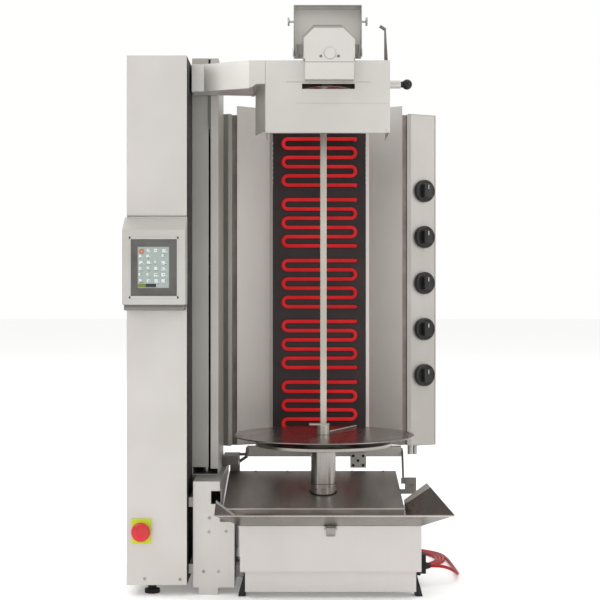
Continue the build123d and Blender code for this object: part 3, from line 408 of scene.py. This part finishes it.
# The touch screen sits in a thicker light hood on the column.  It has a thin pressed frame, a dark grey
# bezel with small marks, and a lit page of generic small icons with a bar along the bottom.  A darker
# tone low on the hood stands in for the shade under it.
hood_tones = (hex_tone("BCBAB6"), hex_tone("B4B1AC"))
light_hood = brushed("light_hood", *hood_tones, "X", 0.45, 0.5, 0.03, 0.0025)
bezel_grey = moulded("bezel_grey", hex_tone("5C5A57"), hex_tone("4F4D4A"), 0.35)
height = light_hood.add("ShaderNodeSeparateXYZ", {}, {"Vector": light_hood.place}, 2)
shade_start = 0.6065
under_shade = ((shade_start - height) * 600).clamp() * 0.85
hood_face = smudged(light_hood, *hood_tones)
light_hood.set(Base_Color=light_hood.mix(under_shade, hood_face, hex_tone("6F6B67")))
place_on(light_hood, "screen_housing")
under = bar("hood_underside", (-411.5, -211, 593.5), (-287.5, -169.5, 604.5), 2.4, 3)
fit(under, light_hood, "root", "steel_brushed")
place_on(bezel_grey, "screen_bezel")
frame_left, frame_right, frame_bottom, frame_top = -402.6, -296.4, 614.4, 747.6
frame_parts = []
for left, right, bottom, top in ((frame_left, frame_right, 739.0, frame_top),
                                 (frame_left, frame_right, frame_bottom, 623.2),
                                 (frame_left, -396.4, frame_bottom, frame_top),
                                 (-302.6, frame_right, frame_bottom, frame_top)):
    frame_parts.append(bar("rib", (left, -215.9, bottom), (right, -213.5, top), 0.7))
fit(joined("screen_frame_rib", *frame_parts), light_hood, "root", "steel_brushed")


def lit(name, tone, strength, rough=0.12):
    """A glowing patch of a display under its glass."""
    finish = Finish(name)
    speckle = finish.noise(900, detail=1.0)
    finish.set(Base_Color=finish.mix(speckle * 0.5, tone, tuple(c * 0.8 for c in tone)), Roughness=rough)
    finish.set(Emission_Color=finish.mix(speckle * 0.3, tone, tuple(c * 0.7 for c in tone)))
    finish.set(Emission_Strength=strength, Coat_Weight=0.4)
    return finish


page = lit("page_grey", hex_tone("98A39F"), 0.05)
place_on(page, "screen_panel")
glass = -214.15
icon_left, icon_top, icon_pitch_x, icon_pitch_z, jitter = -380.3, 720.0, 15.6, 12.4, 0.8
left_empty = ((0, 0), (1, 2))
icons = {"page_white": [], "page_dark": [], "page_mid": []}
for row in range(6):
    for column in range(4):
        left = icon_left + column * icon_pitch_x + random.uniform(-jitter, jitter)
        top = icon_top - row * icon_pitch_z + random.uniform(-jitter, jitter)
        if (row, column) in left_empty:
            continue
        wide = random.uniform(5.0, 8.0)
        square = bar("icon", (left, -214.6, top - wide), (left + wide, glass, top), 1.0, 3)
        icons["page_white"].append(square)
        low = (left + wide * 0.9, -214.5, top - wide * 1.1)
        high = (left + wide * 1.5, glass, top - wide * 0.4)
        icons["page_mid"].append(bar("icon", low, high, 0.6))
        for mark in range(2):
            x = left + random.uniform(1.0, 7.5)
            z = top - random.uniform(3.0, 9.5)
            high = (x + random.uniform(1.2, 3.4), -214.2, z + 1.3)
            icons["page_dark"].append(bar("icon", (x, -214.75, z), high, 0.3))
for name, tone, strength in (("page_white", "CDD3D0", 0.08), ("page_dark", "5F6664", 0.0),
                             ("page_mid", "ACB5B2", 0.05)):
    fit(joined(name, *icons[name]), lit(name, hex_tone(tone), strength), "root", "screen_glass")
hot_profile = [(2.1, 0), (5.4, 0), (5.4, 0.5), (2.1, 0.5), (2.1, 0)]
hot_icon = lathe("page_hot_icon", hot_profile, at(-374.4, -214.2, 714.2), facing_front, 32)
fit(hot_icon, lit("page_orange", hex_tone("B8623C"), 0.08), "root", "screen_glass")
green_end = -366
green_block = bar("page_green", (-382, -214.7, 641), (green_end, glass, 648), 0.3)
fit(green_block, lit("page_green", hex_tone("66741F"), 0.05), "root", "screen_glass")
black_block = bar("page_bar", (green_end, -214.7, 641), (-345, glass, 648), 0.3)
fit(black_block, lit("page_black", hex_tone("161A1A"), 0.0), "root", "screen_glass")
marks = [bar("mark", (-309.6, -214.3, 716), (-305.4, -213.85, 734), 0.2)]
for dx in (0, 4.2):
    marks.append(bar("mark", (-394.2 + dx, -214.3, 642.5), (-391.4 + dx, -213.85, 646.5), 0.4))
print_white = moulded("print_white", hex_tone("D9D9D6"), hex_tone("C4C4C0"), 0.5)
fit(joined("bezel_marks", *marks), print_white, "root", "screen_glass")


# The emergency stop is a red mushroom button on a square yellow-green plate.  The mushroom is turned,
# with a finger groove, a domed rim and a dished middle.
red_plastic = moulded("red_plastic", hex_tone("D0282E"), hex_tone("B9262B"), 0.3, 1200, 0.04, 0.3)
yellow = moulded("yellow_plate", hex_tone("C6D62C"), hex_tone("B4C325"), 0.45)
place_on(yellow, "estop_plate")
stop_x, stop_z = -380, 136
mushroom_profile = [
    (0, -30), (8, -30), (8, 0), (16.5, 0), (19.2, 0.5), (20, 1.6), (20, 4.6), (19.3, 6.4), (18.3, 7.2),
    (18.2, 8.0), (18.6, 8.6), (18.2, 10.2), (16.8, 11.8), (14.6, 12.7), (12, 13), (10.4, 12.8), (8, 12.2),
    (4, 11.8), (0, 11.7)]
mushroom = lathe("estop_mushroom", mushroom_profile, at(stop_x, -181.6, stop_z), facing_front, 96)
fit(mushroom, red_plastic, "estop", "red_button", "estop_button")
arrows = []
stop_centre = at(stop_x, -194, stop_z)
for index in range(3):
    arrow = bar("arrow", (stop_x - 3, -194.25, 148.4), (stop_x + 3, -193.3, 149.8), 0.2)
    bpy.ops.object.mode_set(mode="EDIT")
    bpy.ops.mesh.select_all(action="SELECT")
    bpy.ops.transform.rotate(value=index * 2 * math.pi / 3, orient_axis="Y", center_override=stop_centre)
    bpy.ops.object.mode_set(mode="OBJECT")
    arrows.append(arrow)
fit(joined("estop_arrows", *arrows), print_white, "estop", "red_button")


# The mast is a grey channel with a long lift slot, closed by a plain panel and a narrow cover strip.
# It is duller and darker than the column beside it.
mast_steel = brushed("mast_steel", hex_tone("A9A9A2"), hex_tone("A09F98"), "Z", 0.5, 0.45)
strip_steel = brushed("strip_steel", hex_tone("BEB9B5"), hex_tone("B3AEAA"), "Z", 0.5, 0.4)
place_on(mast_steel, "mast_frame", "mast_panel")
place_on(strip_steel, "mast_strip")


# The heater is a tall sheet casing behind a black enamelled reflector.  Two bright wings fold out beside
# it, and plain side panels close the fronts; everything hangs on a square crossbar with two brackets.
# The left wing's colour carries painted shade and the right one's a painted highlight, to balance them in
# this light.
wing_steel = Finish("wing_steel")
heater_middle = -5.5
heater_x = at(heater_middle, 0, 0).x
spot = wing_steel.add("ShaderNodeMapping", {}, {"Vector": wing_steel.place, "Location": (-heater_x, 0, 0)})
across = wing_steel.add("ShaderNodeSeparateXYZ", {}, {"Vector": spot})
away = across.size()
wing_start, wing_reach = 0.10, 0.11
# The ramp across each wing is painted shade: darker at the inner fold and a little darker again at the
# outer edge.
wing_tone = wing_steel.ramp((away - wing_start) / wing_reach, [
    (0.0, hex_tone("A09B96")), (0.3, hex_tone("B3AFAA")),
    (0.8, hex_tone("C6C2BD")), (1.0, hex_tone("B5B1AC"))])
wing_lines = wing_steel.noise(1.0, (500, 500, 5), 3, 0.7)
wing_stain = ((wing_steel.noise(5.0, (1, 1, 0.4)) - 0.45) * 2.0).clamp() * 0.3
stained = wing_steel.mix(wing_stain, wing_tone, hex_tone("8F867C"))
# Painted shade darkens the left wing, and a painted highlight lightens the right one.
shaded_left = wing_steel.mix((across * -50).clamp() * 0.3, stained, hex_tone("5E5A56"))
wing_steel.set(Base_Color=wing_steel.mix((across * 50).clamp() * 0.45, shaded_left, hex_tone("F4F2EF")),
               Metallic=0.8)
wing_steel.set(Roughness=(0.44 + (wing_lines - 0.5) * 0.2).clamp())
wing_steel.bump(wing_lines, 0.04, 0.0004, 0.001)
switch_steel = brushed("switch_steel", hex_tone("B2AEAA"), hex_tone("A6A29D"), "Z", 0.55, 0.42)
place_on(wing_steel, "wing_left", "wing_right")
place_on(switch_steel, "side_panel_left", "knob_panel", "heater_casing", "crossbar")
bracket_steel = brushed("bracket_steel", hex_tone("8C8884"), hex_tone("6F6A66"), "X", 0.7, 0.45)
place_on(bracket_steel, "heater_brackets")
# The grey-brown strips in the gaps beside the wings are painted shade: dark sheets where the gaps lie in
# shadow.
gap_shade_brown = moulded("gap_shade_brown", hex_tone("8A7F78"), hex_tone("766B64"), 0.6, 300)
shade_sheets = []
for side in (-1, 1):
    left, right = sorted((heater_middle + side * 193.6, heater_middle + side * 203.4))
    shade_sheets.append(bar("shade_sheet", (left, 184.5, 277), (right, 185.2, 1047), 0.1))
fit(joined("wing_gap_shade_sheets", *shade_sheets), gap_shade_brown, "heater", "steel_brushed")
bolt_profile = [(0, 0), (3.2, 0), (3.2, 1.6), (2.6, 2.2), (1.6, 2.3), (1.4, 1.2), (0, 1.2)]
bolts = []
for x, dz in ((73, -20), (96, -20), (73, 2), (96, 2), (84, -9)):
    bolts.append(lathe("bolt", bolt_profile, at(x, 173.1, 250 + dz), facing_front, 24))
fit(joined("lock_plate_bolts", *bolts), deep_grey, "root", "black_plastic")


# The reflector is black enamelled sheet, and in front of it stand five zones of bent tube elements that
# glow a deep even red.  Soot and heat have left brown patches on the enamel.
enamel = Finish("enamel_black")
heat = enamel.noise(14.0, detail=5.0)
enamel.set(Base_Color=enamel.ramp(heat, [
    (0.35, hex_tone("1D1717")), (0.6, hex_tone("2A1E1E")), (0.75, hex_tone("382220"))]))
enamel.set(Roughness=(0.38 + (heat - 0.5) * 0.4).clamp(), Specular_IOR_Level=0.35)
enamel.bump(enamel.noise(260, detail=3), 0.12, 0.0006, 0.0008)
place_on(enamel, "reflector_panel")
glow = Finish("element_glow")
scale_marks = glow.noise(220, detail=4)
glow.set(Base_Color=glow.ramp(scale_marks, [(0.3, hex_tone("3A0D0B")), (0.7, hex_tone("551411"))]))
hot_patches = glow.noise(12, detail=2)
glow.set(Emission_Color=glow.ramp(hot_patches, [(0.3, hex_tone("B8161B")), (0.7, hex_tone("CE2228"))]))
glow.set(Roughness=(0.5 + (scale_marks - 0.5) * 0.4).clamp())
glow.set(Specular_IOR_Level=0.1, Emission_Strength=0.85)
glow.bump(scale_marks, 0.2, 0.0005)
place_on(glow, "heating_elements")


# Five black rotary knobs stand on the angled panel.  Each is a turned skirt with a stepped face and a
# square grip, with a white index line; a small black dot is printed above each one.
panel_turn = math.atan2(0.468157, 0.883646)
knob_x, knob_y, top_knob_z, knob_pitch = 238.3, 196, 870.3, 107.8
grip_size = (0.022, 0.030, 0.0136)
line_size = (0.0016, 0.0095, 0.0006)
skirt_profile = [
    (3, -17), (3, 0.6), (24.6, 0.6), (25.8, 1.2), (26, 2.2), (26, 8.4), (25.4, 9.8), (24, 10.5),
    (21.5, 10.6), (20.8, 10.0), (20.2, 10.0), (19.6, 10.6), (0, 10.7)]
knob_plastic = moulded("knob_plastic", hex_tone("1C1C1C"), hex_tone("262626"), 0.36, 1200, 0.05, 0.05)
dots = []
for index in range(5):
    centre = at(knob_x, knob_y, top_knob_z - knob_pitch * index)
    upright = Matrix.Rotation(panel_turn, 4, "Z") @ Matrix.Rotation(math.pi / 2, 4, "X")
    facing = Matrix.Translation(centre) @ upright
    skirt = lathe("skirt", skirt_profile)
    bpy.ops.object.select_all(action="DESELECT")
    bpy.ops.mesh.primitive_cube_add(size=1, location=(0, 0, 0.0165))
    grip = bpy.context.object
    grip.scale = grip_size
    bpy.ops.object.transform_apply(location=True, rotation=True, scale=True)
    bpy.ops.object.mode_set(mode="EDIT")
    bpy.ops.mesh.select_all(action="DESELECT")
    bpy.ops.object.mode_set(mode="OBJECT")
    for face in grip.data.polygons:
        face.select = face.normal.z > 0.9
    bpy.ops.object.mode_set(mode="EDIT")
    bpy.ops.mesh.inset(thickness=0.0022)
    bpy.ops.transform.translate(value=(0, 0, -0.0008))
    bpy.ops.mesh.select_all(action="SELECT")
    bpy.ops.mesh.bevel(offset=0.0008, segments=2, affect="EDGES")
    settle(grip)
    bpy.ops.mesh.primitive_cube_add(size=1, location=(0, 0.0085, 0.0229))
    line = bpy.context.object
    line.scale = line_size
    bpy.ops.object.transform_apply(location=True, rotation=True, scale=True)
    above = (0, 0.0345, 0.0001)
    bpy.ops.mesh.primitive_cylinder_add(vertices=24, radius=0.0017, depth=0.0002, location=above)
    dot = bpy.context.object
    for piece in (skirt, grip, line, dot):
        piece.data.transform(facing)
    dots.append(dot)
    body = f"knob_{index + 1}"
    fit(joined(f"knob_body_{index + 1}", skirt, grip), knob_plastic, body, "black_plastic", body)
    line.name = f"knob_line_{index + 1}"
    fit(line, print_white, body, "black_plastic")
fit(joined("switch_dots", *dots), deep_grey, "heater", "black_plastic")


# The slicing arm is a light box beam clamped to the lift's carriage.  Its head is a folded hood with a
# blade slot, a dark flare on the left and a plain front.
arm_steel = brushed("arm_steel", hex_tone("D0CDC9"), hex_tone("C3C0BB"), "X", 0.6, 0.42)
inner_shade_steel = brushed("inner_shade_steel", hex_tone("6B655F"), hex_tone("544E48"), "Z", 0.7, 0.45)
place_on(arm_steel, "arm_beam", "head_cover")
# A thin darker line along the head's front bend is painted shade for the crease.
head_fold_shade = bar("head_fold_shade_line", (-60, -152.2, 1025.4), (134, -151.9, 1025.9), 0)
fit(head_fold_shade, switch_steel, "arm", "steel_brushed")
# A dark steel sheet behind the blade slot is painted shade for the hollow inside the head.
head_shade_sheet = bar("head_shade_sheet", (-119, -27.5, 1052), (133, -26, 1110), 0.5)
fit(head_shade_sheet, inner_shade_steel, "arm", "steel_brushed")
seam = bar("head_joint_line", (-124.2, -152.25, 966), (-123.2, -151.9, 1114), 0)
fit(seam, switch_steel, "arm", "steel_brushed")


# The knife's drive sits under a tapered eight-sided housing with a round boss and two dark screws.  The
# round blade below it is ground to an edge, and a bent hood with two thumb screws swings over it.
housing_tones = (hex_tone("D0CDC9"), hex_tone("C6C3BE"))
housing_steel = brushed("housing_steel", *housing_tones, "Z", 0.5, 0.42, 0.03, 0.001)
knife_hood_tones = (hex_tone("D6D3CE"), hex_tone("C8C5C0"))
hood_steel = brushed("hood_steel", *knife_hood_tones, "Z", 0.6, 0.4)
depth = housing_steel.add("ShaderNodeSeparateXYZ", {}, {"Vector": housing_steel.place}, 1)
bevel_start = at(0, -173.5, 0).y
bevel_shade = ((depth - bevel_start) * 40).clamp() * 0.75
front_tone = smudged(housing_steel, *housing_tones)
housing_steel.set(Base_Color=housing_steel.mix(bevel_shade, front_tone, hex_tone("77736F")))
place_on(housing_steel, "knife_housing")
# A thin dark line along the housing's bend is painted shade for the crease.
housing_fold_shade = bar("housing_fold_shade_line", (-41, -175.3, 1107.4), (60.5, -174.8, 1108.2), 0)
fit(housing_fold_shade, bezel_grey, "knife", "steel_brushed")
ring_profile = [(11.9, 0), (12.5, 0), (12.5, 0.8), (11.9, 0.8), (11.9, 0)]
boss_ring = lathe("boss_ring", ring_profile, at(11, -175, 1126), facing_front, 64)
fit(boss_ring, switch_steel, "knife", "steel_brushed")
edge_depth = hood_steel.add("ShaderNodeSeparateXYZ", {}, {"Vector": hood_steel.place}, 1)
web_front = at(0, -50, 0).y
edge_shade = ((web_front - edge_depth) * 90).clamp() * 0.8
web_tone = smudged(hood_steel, *knife_hood_tones)
hood_steel.set(Base_Color=hood_steel.mix(edge_shade, web_tone, hex_tone("76736F")))
place_on(hood_steel, "knife_hood")
blade_profile = [
    (0, 1060), (41, 1060), (50.6, 1061.5), (51.9, 1062), (50, 1062), (11.4, 1062), (11, 1062.4),
    (11, 1067.6), (10.6, 1068), (6, 1068), (6, 1136.5), (5.5, 1137), (0, 1137)]
blade = lathe("round_blade", blade_profile, at(8, -95, 0), steps=160)
fit(blade, bright_steel, "blade", "steel_polished", "blade_disc")
screw_profile = [
    (1.2, -0.5), (1.2, -0.2), (2.5, -0.2), (2.7, 0.3), (2.7, 0.9), (2.2, 1.4), (1.3, 1.5), (1.2, 0.7),
    (0, 0.7)]
boss_screws = []
for x in (-8.3, 28.4):
    boss_screws.append(lathe("boss_screw", screw_profile, at(x, -175.4, 1119.8), facing_front, 32))
fit(joined("boss_screws", *boss_screws), deep_grey, "knife", "black_plastic")
thumb_profile = [(2.5, -1.6), (2.5, 8.6), (7.6, 8.8), (9.4, 9.2), (9.7, 9.8)]
for groove in range(3):
    thumb_profile += [(9.7, 10.0 + groove), (9.2, 10.4 + groove), (9.7, 10.8 + groove)]
thumb_profile += [(9.4, 12.9), (8.6, 13), (3.6, 13), (3.2, 12.6), (0, 12.6)]
thumbs = []
for x, turn in ((-65, -math.pi / 2), (82, math.pi / 2)):
    thumbs.append(lathe("thumb", thumb_profile, at(x, -40, 1219), (0, turn, 0), 48))
fit(joined("hood_thumb_screws", *thumbs), bright_steel, "hood", "steel_bright", "thumb_screws")


# A spring plunger with a black ball locks the head, and a thin lever with a dark grip stands on its top.
ball_plastic = moulded("ball_plastic", hex_tone("0D0D0D"), hex_tone("151515"), 0.28, 1500, 0.02, 0.05)
ball_radius, ball_centre = 11, 39.5
ball_profile = [(0, -8), (4, -8), (4, 26), (5.6, 26), (6.6, 27.2), (6.6, 29.5)]
for step in range(21):
    angle = math.radians(40 + 7 * step)
    ball_profile.append((ball_radius * math.sin(angle), ball_centre - ball_radius * math.cos(angle)))
ball_profile.append((0, ball_centre + ball_radius))
ball = lathe("plunger_ball", ball_profile, at(136.6, -100, 1073), (0, math.pi / 2, 0), 64)
fit(ball, ball_plastic, "plunger", "black_plastic", "lock_plunger")
lever_grey = moulded("lever_grey", hex_tone("6C6966"), hex_tone("5A5754"), 0.4)
place_on(lever_grey, "release_lever")


# The catch tray is a dark polished sheet that slopes to a gutter with folded lips, and a drop latch hangs
# on the front.  Its surface mirrors the column and the glow, softly streaked by fat and cleaning.
tray_steel = Finish("tray_steel")
streaks = tray_steel.noise(3.0, (10, 2, 1), 3, 0.5)
tray_steel.set(Base_Color=tray_steel.ramp(streaks, [
    (0.3, hex_tone("8E8984")), (0.55, hex_tone("A39E99")), (0.8, hex_tone("B0ABA6"))]))
tray_steel.set(Metallic=0.75, Roughness=(0.3 + (streaks - 0.4) * 0.2).clamp())
tray_steel.bump(tray_steel.noise(5, detail=1), 0.02, 0.002)
gutter_steel = brushed("gutter_steel", hex_tone("9B9792"), hex_tone("7F7B76"), "X", 0.9, 0.3, 0.04, 0.0015)
place_on(tray_steel, "tray_floor")
place_on(gutter_steel, "tray_gutter", "tray_latch")
# The front lip's hem is a real folded edge; its bright steel, lighter than the gutter, is also a painted
# highlight.
hem = bar("front_lip_hem", (-220.6, -289.9, 184.6), (254.6, -286.8, 187.9), 1.3, 4)
fit(hem, bright_steel, "root", "steel_tray")


def strip(name, corners, thickness):
    """A thin folded band over four points in millimetres."""
    bpy.ops.object.select_all(action="DESELECT")
    bpy.ops.mesh.primitive_plane_add(size=1)
    piece = bpy.context.object
    piece.name = name
    order = [piece.data.polygons[0].vertices[i] for i in range(4)]
    for index, corner in zip(order, corners):
        piece.data.vertices[index].co = at(*corner)
    bpy.ops.object.mode_set(mode="EDIT")
    bpy.ops.mesh.select_all(action="SELECT")
    bpy.ops.mesh.solidify(thickness=thickness / 1000)
    settle(piece)
    return piece


def part_way(start, end, share):
    """The point at a share of the way from one point to another."""
    return tuple(a + (b - a) * share for a, b in zip(start, end))


def lip_hem(name, root, rear, lip, base, lip_share, base_share):
    """The folded hem along the rear edge of a gutter lip."""
    corners = (root, rear, part_way(rear, lip, lip_share), part_way(root, base, base_share))
    return strip(name, corners, 1.0)


right_hem = lip_hem("right_lip_hem", (173, -60, 183.4), (218.6, -100, 225.5), (255, -289, 188.8),
                    (198, -200, 154), 0.14, 0.14)
left_hem = lip_hem("left_lip_hem", (-172, -160, 157), (-223, -200, 204.5), (-221, -289, 188.8),
                   (-174.4, -200, 154), 0.2, 0.3)
# The hems and the tray's front edge are real folds; their steel, lighter than the tray and gutter, is a
# painted highlight.
edge_highlight_steel = brushed("edge_highlight_steel", hex_tone("D5D2CE"), hex_tone("C3BFBB"), "Y", 0.5, 0.4)
fit(right_hem, edge_highlight_steel, "root", "steel_tray")
fit(left_hem, edge_highlight_steel, "root", "steel_tray")
tray_edge = bar("tray_front_edge", (-213.5, -110.9, 170.6), (169.5, -108.6, 173.6), 0.6)
fit(tray_edge, edge_highlight_steel, "root", "steel_tray")
# A grey-brown strip below the tray's front edge is painted shade on the steep fall to the gutter.
tray_band = bar("tray_front_band", (-213, -110.7, 160.5), (169, -110.05, 170.4), 0.1)
fit(tray_band, gap_shade_brown, "root", "steel_tray")


# The drive column is a polished tube with a dark seal where it leaves the tray.  The turntable's hub and
# wide plate are turned, with fine rings and a rounded rim, and streaks of brown where fat has burnt on.
def turned(name, tone, dark, rough, metallic=0.95, ring_scale=1400):
    """Turned metal: fine rings round the skewer's axis, and soft burnt patches."""
    finish = Finish(name)
    level = finish.add("ShaderNodeMapping", {}, {"Vector": finish.place, "Location": (-axis_x, -axis_y, 0)})
    flat = finish.add("ShaderNodeVectorMath", {"operation": "MULTIPLY"}, {0: level, 1: (1, 1, 0)})
    radius = finish.add("ShaderNodeVectorMath", {"operation": "LENGTH"}, {0: flat}, 1)
    line = finish.add("ShaderNodeCombineXYZ", {}, {"X": radius * ring_scale})
    rings = finish.add("ShaderNodeTexNoise", {}, {"Vector": line, "Scale": 1.0, "Detail": 3.0})
    patches = ((finish.noise(9.0, detail=5.0) - 0.48) * 3).clamp()
    finish.set(Base_Color=finish.mix(patches * 0.6 + (rings - 0.5) * 0.3, tone, dark), Metallic=metallic)
    finish.set(Roughness=(rough + (rings - 0.5) * 0.2 + patches * 0.12).clamp())
    finish.bump(rings, 0.06, 0.0004, 0.0008)
    return finish


plate_steel = turned("plate_steel", hex_tone("87827D"), hex_tone("665D56"), 0.24)
hub_steel = turned("hub_steel", hex_tone("AAA5A0"), hex_tone("8B8681"), 0.35)
sleeve_steel = brushed("sleeve_steel", hex_tone("B0ABA6"), hex_tone("94908B"), "Z", 0.95, 0.24, 0.03)
place_on(hub_steel, "turntable_hub")
place_on(sleeve_steel, "column_sleeve")
plate_bore, plate_low, plate_face, plate_top, ring_pitch = 10.2, 317, 319.7, 320, 14
plate_profile = [
    (plate_bore, plate_low), (198.4, plate_low), (199.5, 317.4), (199.9, 318.2), (199.7, 319.3),
    (199.0, 319.9), (198.0, plate_top), (196.4, 319.85), (195.4, plate_face)]
for ring in range(12):
    radius = 186 - ring * ring_pitch
    plate_profile += [(radius, plate_face), (radius - 0.4, 319.66), (radius - 0.8, plate_face)]
plate_profile += [(24, plate_face), (23, plate_top), (plate_bore, plate_top), (plate_bore, plate_low)]
plate = lathe("meat_plate", plate_profile, at(0, 0, 0), steps=192)
fit(plate, plate_steel, "turntable", "steel_polished", "turntable_plate")
seal_tilt = math.atan(47 / 260)
seal_profile = [(27.6, -3.0), (29.6, -2.8), (30.2, -1.4), (29.8, 0.6), (27.6, 1.4), (27.6, -3.0)]
seal = lathe("sleeve_seal", seal_profile, at(0, 0, 194.2), (seal_tilt, 0, 0))
fit(seal, rubber, "root", "black_rubber")
groove = lathe("sleeve_groove", [(27.5, 0), (27.9, 0.2), (27.9, 1.0), (27.5, 1.2)], at(0, 0, 212))
fit(groove, deep_grey, "root", "black_rubber")


# The skewer is a square polished bar that stands in the hub and tapers to a point, with its long edges
# eased.  A forked clip holds it on the plate, and a spare pin lies loose beside it.
skewer_steel = brushed("skewer_steel", hex_tone("CCCAC0"), hex_tone("B3B0A6"), "Z", 0.85, 0.3, 0.03)
half_side, shoulder, point_length = 7, 1032, 30
spit = bar("spit", (-half_side, -half_side, 262.4), (half_side, half_side, shoulder), 0)
bpy.ops.object.mode_set(mode="EDIT")
bpy.ops.mesh.select_all(action="DESELECT")
bpy.ops.object.mode_set(mode="OBJECT")
for face in spit.data.polygons:
    face.select = face.normal.z > 0.9
bpy.ops.object.mode_set(mode="EDIT")
bpy.ops.mesh.extrude_region_move(TRANSFORM_OT_translate={"value": (0, 0, point_length / 1000)})
bpy.ops.transform.resize(value=(0.22, 0.22, 1), center_override=at(0, 0, shoulder + point_length))
bpy.ops.mesh.select_all(action="SELECT")
bpy.ops.mesh.bevel(offset=0.0012, segments=3, affect="EDGES")
settle(spit)
fit(spit, skewer_steel, "skewer", "steel_polished", "skewer")
place_on(skewer_steel, "skewer_clip")
